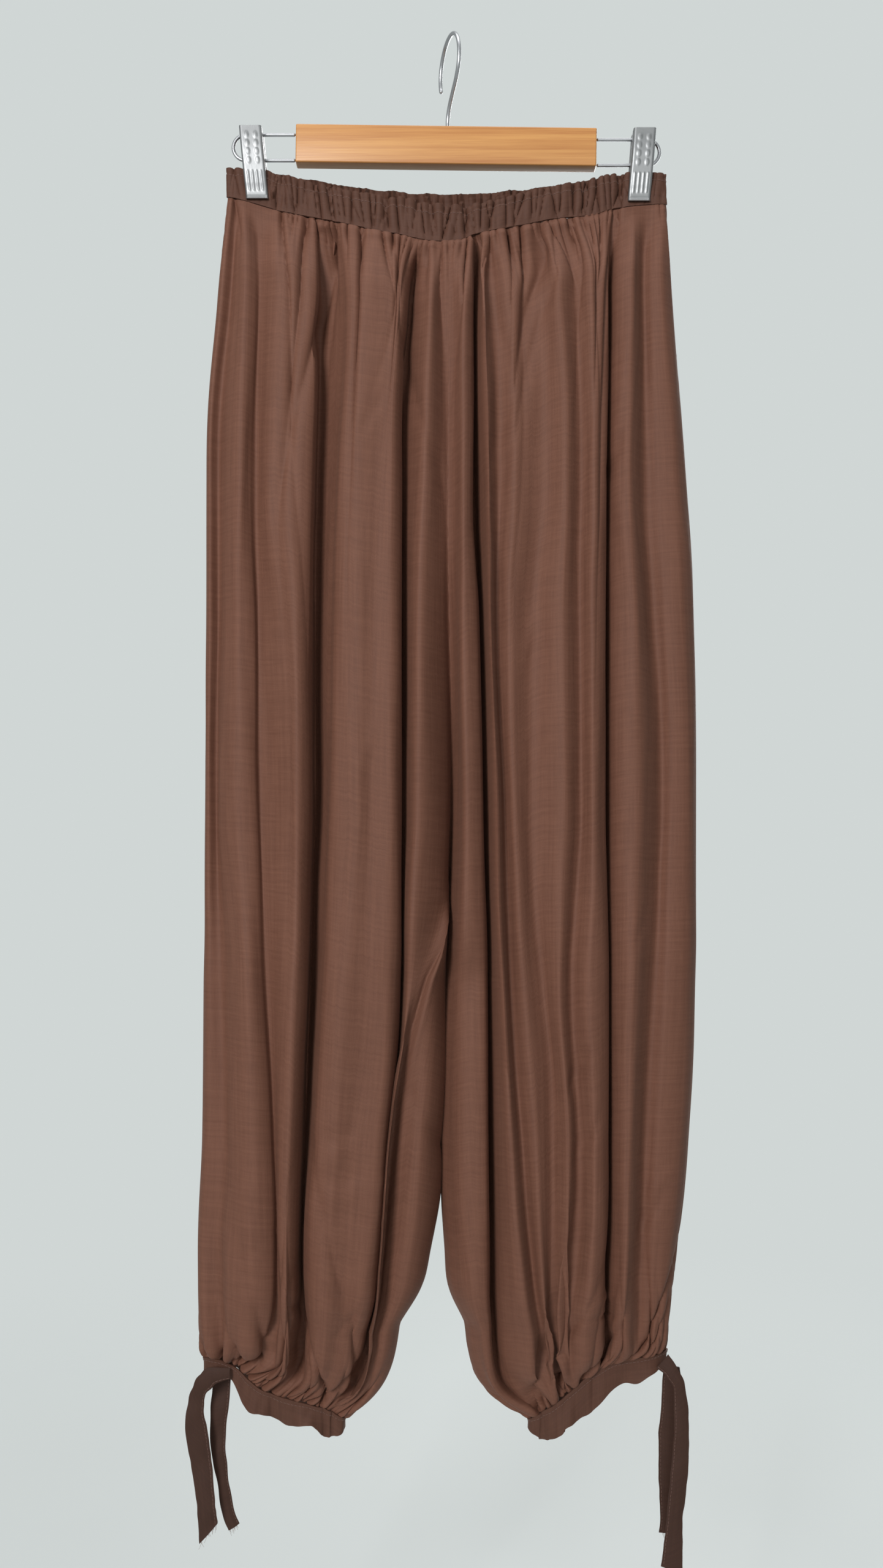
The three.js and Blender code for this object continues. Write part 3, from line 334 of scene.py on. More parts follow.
BACK_RIGHT = [
    fold("turned edge", x=[-8, -8, -8, -8, -3, -3, -1.5, -14, -36, -46, -55, -86],
         y=[20, 27, 29, 26, 22, 20, -16, -37, -27, -22, -18, -8]),
    fold("turned front", x=[-18, -19, -21, -21, -13, -9, -0.5, -8, -21, -31, -47, -82.5],
         y=[24, 32, 38, 40, 40, 36, -2, -28, -33, -28, -20, -6]),
    fold("inner turn", x=[-27, -30, -34, -35, -27, -21, -2.0, -2.0, -6.0, -16, -38, -81],
         y=[22, 28, 33, 36, 42, 42, 16, 0, -10, -8, -4, 0]),
    fold("inner roll", x=[-34, -40, -44, -46, -40, -34, -14, -7, -8.2, -20, -43, -82],
         y=[17, 19, 21, 24, 32, 38, 36, 26, 16, 16, 14, 5]),
    fold("centre hollow", out=-13, x=[-44, -52, -55, -57, -54, -48, -37, -22, -25, -35, -54, -87]),
    fold("broad roll", out=6, x=[-60, -67, -72, -75, -73, -67, -57, -45, -47, -55, -70, -96]),
    fold("broad roll foot", out=-2, x=[-76, -84, -89, -91, -89, -84, -77, -69, -72, -79, -87, -105]),
    fold("middle hollow", out=-16, x=[-87, -96, -101, -103, -102, -98, -93, -87, -90, -96, -101, -114]),
    fold("middle roll", out=6,
         x=[-104, -112, -116, -117, -116, -113, -110.5, -108, -111, -115, -117, -124]),
    fold("outer hollow", out=-13,
         x=[-119, -128, -133, -134, -132, -130, -128.5, -127, -131, -134, -133, -135]),
    fold("outer roll", out=6, x=[-134, -143, -149, -150, -148, -147, -146.5, -146, -150, -153, -151, -147]),
    fold("side hollow", out=-9, x=[-149, -159, -164, -165, -164, -163, -163, -163, -167, -170, -168, -161]),
    fold("side roll", out=3, x=[-162, -172, -179, -180, -180, -180, -180, -180, -181, -185, -183, -177]),
]
BACK_LEFT = [
    fold("inner slope", x=[8, 8, 8, 8, 5, 4, 3, 1.5, -0.5, 2, 16, 64],
         y=[20, 27, 29, 26, 22, 20, 19, 18, 17, 16, 13, 5]),
    fold("inner roll", out=4, x=[18, 20, 22, 21, 16, 14, 13, 12, 15, 20, 28, 67]),
    fold("centre hollow", out=-14, x=[28, 32, 35, 34, 30, 29, 29, 29, 32, 35, 41, 71]),
    fold("broad roll", out=6, x=[43, 50, 54, 54, 52, 52, 52, 52, 53, 53, 56, 78]),
    fold("broad roll foot", out=-1, x=[58, 66, 72, 73, 73, 73, 73, 73, 72, 69, 69, 85]),
    fold("middle hollow", out=-16, x=[68, 77, 84, 86, 86, 86, 86, 86, 84, 80, 79, 91]),
    fold("middle roll", out=6, x=[83, 90, 98, 101, 103, 103, 103, 101, 98, 93, 90, 100]),
    fold("outer hollow", out=-12, x=[97, 104, 112, 116, 118, 118, 118, 116, 112, 107, 104, 108]),
    fold("outer roll", out=6, x=[111, 120, 128, 132, 135, 135, 135, 133, 128, 123, 118, 120]),
    fold("narrow hollow", out=-12, x=[125, 134, 143, 147, 151, 151, 151, 149, 143, 137, 132, 133]),
    fold("narrow roll", out=4, x=[138, 146, 156, 161, 164, 164, 164, 162, 157, 149, 143, 144]),
    fold("side hollow", out=-8, x=[150, 158, 168, 173, 177, 177, 177, 175, 169, 161, 155, 155]),
    fold("side roll", out=3, x=[161, 167, 179, 183, 186, 186, 186, 184, 179, 170, 164, 163]),
]
FOLDS = {"front_right": FRONT_RIGHT, "front_left": FRONT_LEFT,
         "back_right": BACK_RIGHT, "back_left": BACK_LEFT}
print({panel: len(rows) for panel, rows in FOLDS.items()}, "fold lines")

# %% [markdown]
# ## Lines, rings and panels
# A real garment this wide is hard to draw as four separate sheets, because they must meet at
# the seams. So each level is worked out as a ring: one smooth closed curve through all the
# folds that the level crosses. Above the crotch the ring is the whole garment, and below it
# there is one ring for each leg. The panels are then cut out of the rings at the seams.

# %% Rows, levels and the even form
LEAST_STAND = BAND_INNER * 0.8   # no fold comes nearer than this to the garment's middle plane
ROWS_ABOVE = 90
ROWS_BELOW = 82
COLUMN_STEP = 0.95            # millimetres between two columns where the cloth is gathered
COLUMN_LIMITS = (4, 26)       # fewest and most columns between two fold lines


def row_shares():
    """Shares of the way from the waist seam to the crotch and from the crotch to the cuff.
    Rows are closer together near both seams, where the gathers are: t^1.6 draws them to the
    waist, and 1 - (1 - t)^1.7 draws them to the cuff."""
    t = np.linspace(0, 1, ROWS_ABOVE)
    above = t ** 1.6
    s = np.linspace(0, 1, ROWS_BELOW + 1)[1:]
    below = 1 - (1 - s) ** 1.7
    return above, below


ABOVE, BELOW = row_shares()
BALLOON = 0.25                # share of a leg's closing above the cuff that is even
BALLOON_DEPTH = 0.75          # and the same share for its depth from front to back


def level_value(values, z, top, bottom, balloon=BALLOON):
    """A table of twelve values read at height z, on a line from its top to its bottom. Below
    the last level a leg keeps its width and then closes fast, like a balloon: the share of
    the way, t, becomes b*t + (1 - b)*t^3, with b for balloon."""
    last = LEVELS[-1]
    share = np.clip((last - z) / (last - bottom), 0, 1)
    closing = balloon * share + (1 - balloon) * share ** 3
    knots = np.concatenate([[-top], -np.array(LEVELS, float), [-bottom]])
    return monotone(knots, values, -np.maximum(z, last) + (last - bottom) * closing)


def lens(x, z, top, bottom, leg):
    """Half depth of the even form at x: the garment's half depth times (1 - |u|^power)^0.5, with
    u from -1 to 1 across the garment, or across one leg below the crotch. Near the waist it
    turns into the flat oval of the band, pinched to a few millimetres at the clips."""
    outer = level_value(SEAMS["side_left" if leg > 0 else "side_right"]["x"], z, top, bottom)
    inner = level_value(SEAMS["inseam_left" if leg > 0 else "inseam_right"]["x"], z, top, bottom)
    if leg < 0:
        inner = np.maximum(inner, level_value(BACK_RIGHT[2]["x"], z, top, bottom))
    split = smoothstep((CROTCH + SPLIT["above"] - z) / SPLIT["reach"])
    start = mix(-outer, inner, split)
    away = np.abs((2 * x - start - outer) / (outer - start))
    round_off = np.sqrt(np.clip(1 - away ** FORM_POWER, 0, 1))
    full = level_value(DEPTH, z, top, bottom, BALLOON_DEPTH) * round_off
    flat = BAND_INNER + WAIST_SWELL * np.clip(1 - (x / BETWEEN_CLIPS) ** 2, 0, 1)
    flat = flat * np.sqrt(np.clip((1 - np.abs(x / outer)) / 0.03, 0, 1))
    return mix(flat, full, smoothstep((top - z) / WAIST_REACH))


# %% Fold lines, rings and panels
DRAWN_IN = 0.034              # the front folds bulge, and so stand this share nearer the middle
DRAWN_REACH = 70.0            # way from a gathered seam over which they come to do so
HIP = 190.0                   # half width of the garment, where they don't


def line_points(line, part, front, leg):
    """Points down one fold or seam. part is above or below the crotch, front is -1 or 1. A
    front fold on the even form is drawn in towards the middle by up to DRAWN_IN of its x."""
    waist, ankle = (WAIST_FRONT if front < 0 else WAIST_BACK), (ANKLE_RIGHT if leg < 0 else ANKLE_LEFT)
    top = float(seam_z(waist, line["x"][0])) - SEAM_GAP / 2
    bottom = float(seam_z(ankle, line["x"][11])) + SEAM_GAP / 2
    z = mix(top, CROTCH, ABOVE) if part == "above" else mix(CROTCH, bottom, BELOW)
    x = level_value(line["x"], z, top, bottom)
    if line["y"] is None and front < 0:
        inward = smoothstep(np.minimum(top - z, z - bottom) / DRAWN_REACH) * (1 - (x / HIP) ** 6)
        x = x * (1 - DRAWN_IN * inward)
    if line["y"] is not None:
        y = level_value(line["y"], z, top, bottom, BALLOON_DEPTH)
    else:
        sewn = mix(SEWN_IN["least"], 1, smoothstep(np.minimum(top - z, z - bottom) / SEWN_IN["reach"]))
        stand = lens(x, z, top, bottom, leg) + line["out"] * sewn * level_value(FOLD_SCALE, z, top, bottom)
        y = front * np.maximum(stand, LEAST_STAND)
    return np.stack([x, y, z], -1)


def ring_lines(part):
    """The closed rings of one part of the garment, each a list of fold lines in order, with
    the panels that are cut from it: name, first and last line."""
    def side(panel, turned):
        leg = -1 if panel.endswith("right") else 1
        front = -1 if panel.startswith("front") else 1
        lines = [line_points(line, part, front, leg) for line in FOLDS[panel]]
        return lines[::-1] if turned else lines

    def seam(name, front=-1, leg=-1):
        return [line_points(SEAMS[name], part, front, leg)]

    fr, fl = side("front_right", True), side("front_left", False)
    br, bl = side("back_right", False), side("back_left", True)
    right, left = seam("side_right"), seam("side_left", -1, 1)
    if part == "above":
        ring = right + fr + seam("centre_front") + fl + left + bl + seam("centre_back", 1) + br
        n = np.cumsum([0, len(fr) + 1, len(fl) + 1, len(bl) + 1, len(br) + 1])
        names = ["front_right", "front_left", "back_left", "back_right"]
        return [(np.stack(ring, 1), [(names[k], n[k], n[k + 1]) for k in range(4)])]
    right_ring = right + fr + seam("inseam_right") + br
    left_ring = seam("inseam_left", -1, 1) + fl + left + bl
    n, m = len(fr) + 1, len(fl) + 1
    return [
        (np.stack(right_ring, 1), [("front_right", 0, n), ("back_right", n, len(right_ring))]),
        (np.stack(left_ring, 1), [("front_left", 0, m), ("back_left", m, len(left_ring))]),
    ]


def ring_curve(ring, u):
    """Points at u on closed curves through the ring's lines, for all rows at once. Each
    stretch is a cubic whose end slopes come from the neighbours' distances to the power 0.5,
    the centripetal Catmull-Rom rule, which makes no loops where lines are close."""
    n = ring.shape[1]
    k = np.floor(u).astype(int)
    t = (u - k)[None, :, None]
    p0, p1, p2, p3 = (ring[:, (k + d) % n] for d in (-1, 0, 1, 2))
    d01, d12, d23 = (np.maximum(np.linalg.norm(b - a, axis=-1, keepdims=True), 1e-6) ** 0.5
                     for a, b in ((p0, p1), (p1, p2), (p2, p3)))
    m1 = ((p1 - p0) / d01 - (p2 - p0) / (d01 + d12) + (p2 - p1) / d12) * d12
    m2 = ((p2 - p1) / d12 - (p3 - p1) / (d12 + d23) + (p3 - p2) / d23) * d12
    c2, c3 = -3 * p1 + 3 * p2 - 2 * m1 - m2, 2 * p1 - 2 * p2 + m1 + m2
    return p1 + m1 * t + c2 * t ** 2 + c3 * t ** 3


def stretch_columns(spans):
    """How many columns each stretch between two fold lines of a panel gets: one for each
    COLUMN_STEP of its width at the waist or at the cuff, whichever is more, within limits."""
    (ring, first, last), (low_ring, low_first, low_last) = spans
    top = np.take(ring[0], range(first, last + 1), axis=0, mode="wrap")
    low = np.take(low_ring[-1], range(low_first, low_last + 1), axis=0, mode="wrap")
    top_widths, low_widths = (np.linalg.norm(np.diff(line, axis=0), axis=1) for line in (top, low))
    widths = np.maximum(top_widths, low_widths)
    return np.clip(np.ceil(widths / COLUMN_STEP), *COLUMN_LIMITS).astype(int)


def panel_grids():
    """The middle surface of every panel, as an array (rows, columns, 3) in millimetres."""
    spans = {name: [] for name in FOLDS}
    for part in ("above", "below"):
        for ring, cuts in ring_lines(part):
            for name, first, last in cuts:
                spans[name].append((ring, first, last))
    grids = {}
    for name, parts in spans.items():
        columns = stretch_columns(parts)
        steps = np.concatenate([k + np.arange(n) / n for k, n in enumerate(columns)] + [[len(columns)]])
        grids[name] = np.concatenate([ring_curve(ring, first + steps) for ring, first, last in parts])
    return grids


BASE = panel_grids()
print({name: grid.shape[:2] for name, grid in BASE.items()})

# %% [markdown]
# ## Gathers and creases
# Real gathers are uneven: each is a little wider, deeper or longer than the next, and most
# die out within a few centimetres of the seam while some run on as soft folds. They could be
# simulated, but a cloth solver would move the large folds away from the CAD model, so they
# are worked out as many narrow hollows, each with its own size, that fade away from the seam.

# %% Gathers
def gathers(s, down, spacing, depth, length, seed, lean=0.12):
    """Uneven gathers that start at a seam. s runs along the seam and down away from it. Each
    is a hollow -d * exp(-(|s - place - lean*down| / w)^1.2) * exp(-(down / l)^1.5), where w
    grows with down, and its place, d, w, l and lean are drawn at random round the given ones."""
    rng = np.random.default_rng(seed)
    relief = np.zeros(np.broadcast(s, down).shape)
    place = s.min() + spacing * rng.uniform(0.2, 0.9)
    while place < s.max() - spacing * 0.3:
        deep, reach = depth * rng.uniform(0.35, 1.25), length * rng.uniform(0.35, 1.0) ** 2 * 1.6
        wide = spacing * rng.uniform(0.11, 0.22) * (1 + 0.9 * down / reach)
        off = np.abs(s - place - lean * rng.normal() * down)
        relief -= deep * np.exp(-(off / wide) ** 1.2 - (down / reach) ** 1.5)
        place += spacing * rng.uniform(0.5, 1.55)
    return relief


CLIP_REACH = 17.0             # how far to each side a clip keeps the cloth below it smooth


def unclipped(x):
    """1 along the waistband and 0 inside a clip: 1 - exp(-(d/reach)^4)."""
    return 1 - np.exp(-(((np.abs(x) - CLIP_X) / CLIP_REACH) ** 4))


# %% Numbers of the drapery
SEAM_LAP = 0.25               # how far sewn edges run on past their seam, to let no light through
# Two sets of gathers at each seam: spacing along it, depth and length, in millimetres.
WAIST_GATHERS = [(6.6, 5.0, 56), (17.0, 6.4, 150)]
ANKLE_GATHERS = [(5.4, 8.6, 48), (11.0, 7.5, 110)]
PUFF = dict(height=2.6, rise=4.0, fade=26.0)   # how the cloth swells just past a gathered seam
PUFF_AT_SEAM = 0.45           # share of the relief that is left right at a gathered seam
CUFF_PUFF = 0.7               # the puff above a cuff, as a share of the one below the waist
RIPPLE = dict(fine=0.16, broad=0.3)            # height of the soft ripples along the folds
QUIET = 40.0                  # way from a gathered seam over which the ripples fade in
SIDE_SEAM = dict(sunk=0.45, pucker=0.28, width=1.6, fade=5.0)   # a sewn edge, and its puckers
CREASE_DEPTH = 1.6            # every crease's depth is multiplied by this
CREASE_WAVE = dict(height=0.12, turns=2.1)     # a crease isn't straight: its own slight wave
# Small creases pressed or crumpled into the cloth: centre x and z, half length and half width,
# turn in degrees from level, and depth, all in millimetres.
CREASES = {
    "front_right": [
        (-86, -842, 15, 2.6, 24, -1.3), (-84, -856, 16, 2.4, 30, 1.2), (-80, -872, 13, 2.8, 14, -1.2),
        (-84, -889, 12, 3.0, 8, 0.9), (-66, -905, 16, 3.0, -12, -0.7), (-62, -880, 14, 2.4, 20, 0.6),
        (-150, -930, 10, 2.2, 35, -0.9), (-86, -962, 12, 2.2, -35, -0.9), (-76, -985, 12, 2.0, 55, -0.8),
        (-58, -300, 16, 3.5, 70, -0.6), (-165, -260, 14, 3.0, 62, -0.5), (-62, -555, 22, 4.0, 80, 0.5)],
    "front_left": [
        (97, -792, 18, 3.0, 74, -1.2), (104, -842, 20, 3.2, 70, -1.0), (152, -905, 14, 3.0, 62, -1.3),
        (160, -880, 12, 2.6, 50, 0.8), (115, -982, 12, 2.0, 5, -0.9), (118, -968, 10, 2.2, 12, 0.8),
        (126, -330, 16, 3.0, 84, -0.8), (143, -690, 14, 2.8, 75, -0.7), (60, -470, 20, 3.5, 86, 0.6)],
    "back_right": [
        (-60, -860, 16, 2.8, 22, -1.1), (-66, -880, 14, 2.6, 30, 1.0), (-110, -905, 14, 2.8, -16, -0.9),
        (-140, -360, 14, 3.2, 66, -0.7), (-100, -560, 22, 4.0, 82, 0.6)],
    "back_left": [
        (64, -850, 16, 2.8, -26, -1.1), (70, -872, 14, 2.6, -18, 1.0), (120, -900, 14, 2.8, 20, -0.9),
        (136, -330, 14, 3.2, -62, -0.7), (90, -540, 22, 4.0, -80, 0.6)],
}


# %% Panels with their drapery
def crease_relief(points, rows):
    """Sum of small troughs: depth * exp(-(along/length)^4 - (across/width)^2), in x and z."""
    relief = np.zeros(points.shape[:2])
    for x, z, length, width, turn, depth in rows:
        a = math.radians(turn)
        dx, dz = points[..., 0] - x, points[..., 2] - z
        along = dx * math.cos(a) + dz * math.sin(a)
        across = -dx * math.sin(a) + dz * math.cos(a)
        across = across + CREASE_WAVE["height"] * length * np.sin(along / length * CREASE_WAVE["turns"])
        relief += CREASE_DEPTH * depth * np.exp(-(along / length) ** 4 - (across / width) ** 2)
    return relief


def drapery(name, seed):
    """One panel in millimetres: its base grid moved along its normals by gathers at the waist
    and cuff, by soft lengthwise ripples, by small creases, and pulled in along its seams."""
    base = BASE[name]
    normals = grid_normals(base)
    waist = WAIST_FRONT if name.startswith("front") else WAIST_BACK
    ankle = ANKLE_RIGHT if name.endswith("right") else ANKLE_LEFT
    from_waist = np.clip(seam_z(waist, base[..., 0]) - base[..., 2], 0, None)
    down = arc_lengths(base, 0)
    from_cuff = down[-1:] - down
    s_waist = arc_lengths(base[:1], 1)
    s_ankle = arc_lengths(base[-1:], 1)
    s_middle = arc_lengths(base, 1)[base.shape[0] // 2][None]
    pinch = unclipped(base[:1, :, 0])
    relief = np.zeros(base.shape[:2])
    for k, (spacing, depth, length) in enumerate(WAIST_GATHERS):
        relief += pinch * gathers(s_waist, from_waist, spacing, depth, length, seed + k)
    for k, (spacing, depth, length) in enumerate(ANKLE_GATHERS):
        relief += gathers(s_ankle, from_cuff, spacing, depth, length, seed + 5 + k, lean=0.2)
    for away, strength in ((from_waist, pinch), (from_cuff, CUFF_PUFF)):
        swell = np.exp(-away / PUFF["fade"]) * (0.3 + smoothstep(away / PUFF["rise"]))
        relief += strength * PUFF["height"] * swell
        relief *= mix(PUFF_AT_SEAM, 1, smoothstep(away / PUFF["rise"]))
    ripple = RIPPLE["fine"] * wander(s_middle + 6 * wander(down, 240, seed + 12, 3), 15, seed + 11)
    ripple = ripple + RIPPLE["broad"] * wander(s_middle, 34, seed + 13) * wander(down, 160, seed + 14, 4)
    quiet = smoothstep(from_waist / QUIET) * smoothstep(from_cuff / QUIET)
    relief += ripple * quiet + crease_relief(base, CREASES[name])
    across = arc_lengths(base, 1)
    edge = np.minimum(across, across[:, -1:] - across)
    pucker = SIDE_SEAM["pucker"] * wander(down, 9, seed + 15, 4)
    sunk = (SIDE_SEAM["sunk"] - pucker) * np.exp(-(edge / SIDE_SEAM["width"]) ** 2)
    relief = relief * smoothstep(edge / SIDE_SEAM["fade"]) - sunk
    points = base + normals * relief[..., None]
    points[:, 0] -= unit(base[:, 1] - base[:, 0]) * SEAM_LAP
    points[:, -1] += unit(base[:, -1] - base[:, -2]) * SEAM_LAP
    return points


CLOTH = 0.7                   # thickness of the cloth's shell
SEEDS = {"front_right": 11, "front_left": 42, "back_right": 73, "back_left": 104}
PANELS = {name: drapery(name, SEEDS[name]) for name in FOLDS}
pieces = {name: wall(name + "_cloth", PANELS[name], CLOTH) for name in FOLDS}
for name, piece in pieces.items():
    widths = arc_lengths(PANELS[name], 1)[:, -1]
    lengths = arc_lengths(PANELS[name], 0)[-1]
    print(name, "cut about", round(widths.max()), "x", round(lengths.mean()), "mm,",
          len(piece.data.polygons), "faces")

# %% [markdown]
# ## Waistband
# On the real pants an elastic runs through a casing that is folded from the cloth itself, so
# the band is gathered harder than the panels below it. It hangs flat, front against back,
# with the front drooping a little. It is one closed tube here, and the two clips flatten it.

# %% Waistband
BAND = dict(cloth=1.9, columns=980, rows=30, swell=12.0)
BAND_GATHERS = [(6.2, 3.7, 400), (11.0, 3.2, 26)]   # spacing, depth and length, in millimetres
BAND_EASE = 1.2               # how far the gathered casing stands off the flat tube
BAND_HELD = dict(clip=0.25, side=0.35, seam=0.3)    # share of the gathers that is left there
CASING = dict(at=0.17, deep=0.45, width=0.035)      # a line pressed in below the top edge


def band_tube():
    """Rows round the flat tube: x goes (1 - cos a)/2 of the way from side to side, y is a few
    millimetres either way with a swell in the middle, z runs from the top edge to the seam."""
    angle = np.linspace(0, 2 * np.pi, BAND["columns"], endpoint=False)[None]
    share = np.linspace(0, 1, BAND["rows"])[:, None]
    x0, x1 = SEAMS["side_right"]["x"][0], SEAMS["side_left"]["x"][0]
    x = mix(x0, x1, (1 - np.cos(angle)) / 2)
    front = np.sign(np.pi - angle - 1e-9)
    swell = BAND["swell"] * np.clip(1 - (x / BETWEEN_CLIPS) ** 2, 0, 1)
    y = -front * (BAND_INNER * np.clip(4 * np.abs(np.sin(angle)), 0, 1) + swell)
    top = np.where(front > 0, seam_z(BAND_TOP_FRONT, x), seam_z(BAND_TOP_BACK, x))
    seam = np.where(front > 0, seam_z(WAIST_FRONT, x), seam_z(WAIST_BACK, x)) + SEAM_GAP / 2
    points = np.stack(np.broadcast_arrays(x + 0 * share, y + 0 * share, mix(top, seam, share)), -1)
    normals = grid_normals(points, closed=True)
    s = arc_lengths(points[:1], 1)
    height = arc_lengths(points, 0)
    edge = mix(BAND_HELD["side"], 1, smoothstep(np.minimum(np.abs(x - x0), np.abs(x - x1)) / 5))
    held = mix(BAND_HELD["clip"], 1, smoothstep((np.abs(np.abs(x) - CLIP_X - 2) - 9) / 8)) * edge
    relief = BAND_EASE + 0 * height
    for k, (spacing, depth, length) in enumerate(BAND_GATHERS):
        relief = relief + gathers(s, height, spacing, depth, length, 201 + k, lean=0.14)
        relief = relief + 0.6 * gathers(s, height[-1:] - height, spacing * 1.3, depth,
                                        length * 0.2 + 8, 211 + k, lean=0.2)
    held = held * mix(1, BAND_HELD["seam"], smoothstep((share - 0.7) / 0.3))
    sewn = CASING["deep"] * np.exp(-((share - CASING["at"]) / CASING["width"]) ** 2)
    relief = relief * held - sewn
    points = points + normals * relief[..., None]
    points[..., 2] += (1 - share) * (0.6 * wander(s, 10, 206) + 0.35 * relief)
    return points


band = band_tube()
waistband = wall("waistband_cloth", band, BAND["cloth"], closed=True)
print("waistband round its top", round(arc_lengths(band[:1], 1)[0, -1]), "mm")

# %% [markdown]
# ## Cuffs
# Each leg is gathered to a flat binding, a smooth strap of the same cloth whose ends run on
# as the ties. It is too wide to lie flat, so its lower edge swings in and out in a few soft
# waves. The tube below starts from the last row of its leg's two panels.

# %% Cuffs
CUFF = dict(cloth=1.2, rows=20, wave=26.0, swing=2.6, lap=1.2, fine=0.25, lip=0.9, ends=15.0)


def cuff_tube(names, ankle, hem, seed):
    """A tube below one leg: the ring of the leg's last row goes down from the seam to the hem
    table and swings out by share^1.5 times a slow wander along the ring."""
    ring = np.concatenate([BASE[name][-1, :-1] for name in names])[None]
    share = np.linspace(0, 1, CUFF["rows"])[:, None]
    x, y = ring[..., 0] + 0 * share, ring[..., 1] + 0 * share
    s = arc_lengths(ring, 1)
    top = seam_z(ankle, x) + CUFF["lap"]
    low = np.minimum(top - 4, seam_z(hem, x) - 0.5 * wander(s, 12, seed + 1))
    points = np.stack([x, y, mix(top, low, share)], -1)
    normals = grid_normals(points, closed=True)
    ends = smoothstep(s / CUFF["ends"]) * smoothstep((s[:, -1:] - s) / CUFF["ends"])
    swing = CUFF["swing"] * share ** 1.5 * wander(s, CUFF["wave"], seed, 4) * ends
    fine = CUFF["fine"] * wander(s + 5 * share, 7, seed + 2) * smoothstep(share * 3)
    lip = CUFF["lip"] * np.exp(-(share / 0.16) ** 2)
    return points + normals * (swing + fine + lip)[..., None]


CUFF_TUBES = {
    "cuff_right": cuff_tube(["front_right", "back_right"], ANKLE_RIGHT, CUFF_RIGHT, 301),
    "cuff_left": cuff_tube(["front_left", "back_left"], ANKLE_LEFT, CUFF_LEFT, 331),
}
cuffs = {name: wall(name + "_cloth", tube, CUFF["cloth"], closed=True)
         for name, tube in CUFF_TUBES.items()}
print("cuff faces", {name: len(made.data.polygons) for name, made in cuffs.items()})

# %% [markdown]
# ## Ankle ties
# The binding's two ends run on at the outer side of each cuff and hang down as flat ties.
# Each is a strip of the same cloth folded in half and stitched along its open edge. They
# twist a little about their length and end in a slanting cut with a few loose threads.

# %% Ties
# Each row is outer x, outer z, inner x, inner z and y, in millimetres, from the top down.
TIE_ROWS = {
    "tie_right_front": [
        (-168, -1027, -168, -1035, -16), (-181, -1026, -176, -1037, -17), (-190, -1031, -182, -1042, -17),
        (-196, -1041, -187, -1049, -16), (-200, -1054, -188, -1059, -15), (-202, -1070, -186, -1071, -15),
        (-201, -1082, -184, -1084, -15), (-198, -1099, -182, -1099, -16), (-195, -1116, -180, -1117, -17),
        (-192, -1139, -178, -1136, -18), (-191, -1161, -177, -1145, -18)],
    "tie_right_back": [
        (-184, -1040, -169, -1036, 2), (-184, -1052, -170, -1048, 0), (-185, -1066, -171, -1064, -2),
        (-185, -1084, -173, -1084, -4), (-182, -1104, -172, -1104, -6), (-178, -1124, -169, -1124, -7),
        (-175, -1143, -166, -1140, -7), (-170, -1156, -162, -1151, -7)],
    "tie_left_front": [
        (169, -1019, 160, -1029, -10), (177, -1031, 168, -1036, -12), (182, -1047, 173, -1049, -13),
        (184, -1068, 173, -1069, -14), (184, -1090, 172, -1090, -14), (183, -1110, 170, -1110, -15),
        (181, -1130, 168, -1131, -15), (179, -1151, 166, -1153, -15), (179, -1184, 163, -1180, -15)],
    "tie_left_back": [
        (180, -1034, 168, -1031, 2), (181, -1046, 166.5, -1044, 1), (180, -1066, 165, -1066, 0),
        (178, -1092, 163, -1092, -1), (177, -1120, 163, -1120, -2), (176, -1150, 164, -1148, -3),
        (175, -1160, 163, -1160, -3)],
}
TIE = dict(cloth=1.1, rows=120, columns=19, bow=0.9, wave=0.5, twist=1.6)
TIE_HEM = dict(at=0.86, width=0.03, rise=0.35)      # the stitched edge, across the strap


def tie_strip(name, seed):
    """A strap as rows from its top to its end: both edges follow smooth curves through the
    table, and the middle bows out with a slow twist."""
    table = np.array(TIE_ROWS[name], float)
    at = np.linspace(0, len(table) - 1, TIE["rows"])
    knots = np.arange(len(table))
    outer_x, outer_z, inner_x, inner_z, depth = (
        monotone(knots, table[:, k], at)[:, None] for k in range(5))
    across = np.linspace(0, 1, TIE["columns"])[None]
    x, z = mix(outer_x, inner_x, across), mix(outer_z, inner_z, across)
    down = np.abs(z[:, :1] - z[0, 0])
    bow = -TIE["bow"] * np.sin(np.pi * across) - TIE["wave"] * wander(down + 8 * across, 26, seed)
    twist = (across - 0.5) * TIE["twist"] * wander(down, 70, seed + 1, 3) * smoothstep(down / 50)
    seam = TIE_HEM["rise"] * np.exp(-((across - TIE_HEM["at"]) / TIE_HEM["width"]) ** 2)
    x = x + 0.15 * wander(down, 12, seed + 2) * (2 * across - 1)
    y = depth + bow + twist + seam
    return np.stack([x, y, z], -1)


TIE_SEEDS = {"tie_right_front": 401, "tie_right_back": 421, "tie_left_front": 441, "tie_left_back": 461}
TIE_STRIPS = {name: tie_strip(name, seed) for name, seed in TIE_SEEDS.items()}
ties = {name: wall(name + "_cloth", strip, TIE["cloth"]) for name, strip in TIE_STRIPS.items()}
for name, strip in TIE_STRIPS.items():
    length, width = arc_lengths(strip, 0)[-1].mean(), arc_lengths(strip, 1)[TIE["rows"] // 2, -1]
    print(name, "is", round(length), "mm long and", round(width, 1), "mm wide")

# %% [markdown]
# ## Stitches and loose threads
# A seam on cloth reads as a row of short threads that dip into it. Each stitch is a thin
# six-sided tube that rises out of the cloth and goes back in. All the stitches of a row are
# made at once from arrays and joined in one mesh, which keeps the scene light.

# %% Tubes, stitches and threads
TUBE_SIDES = 6


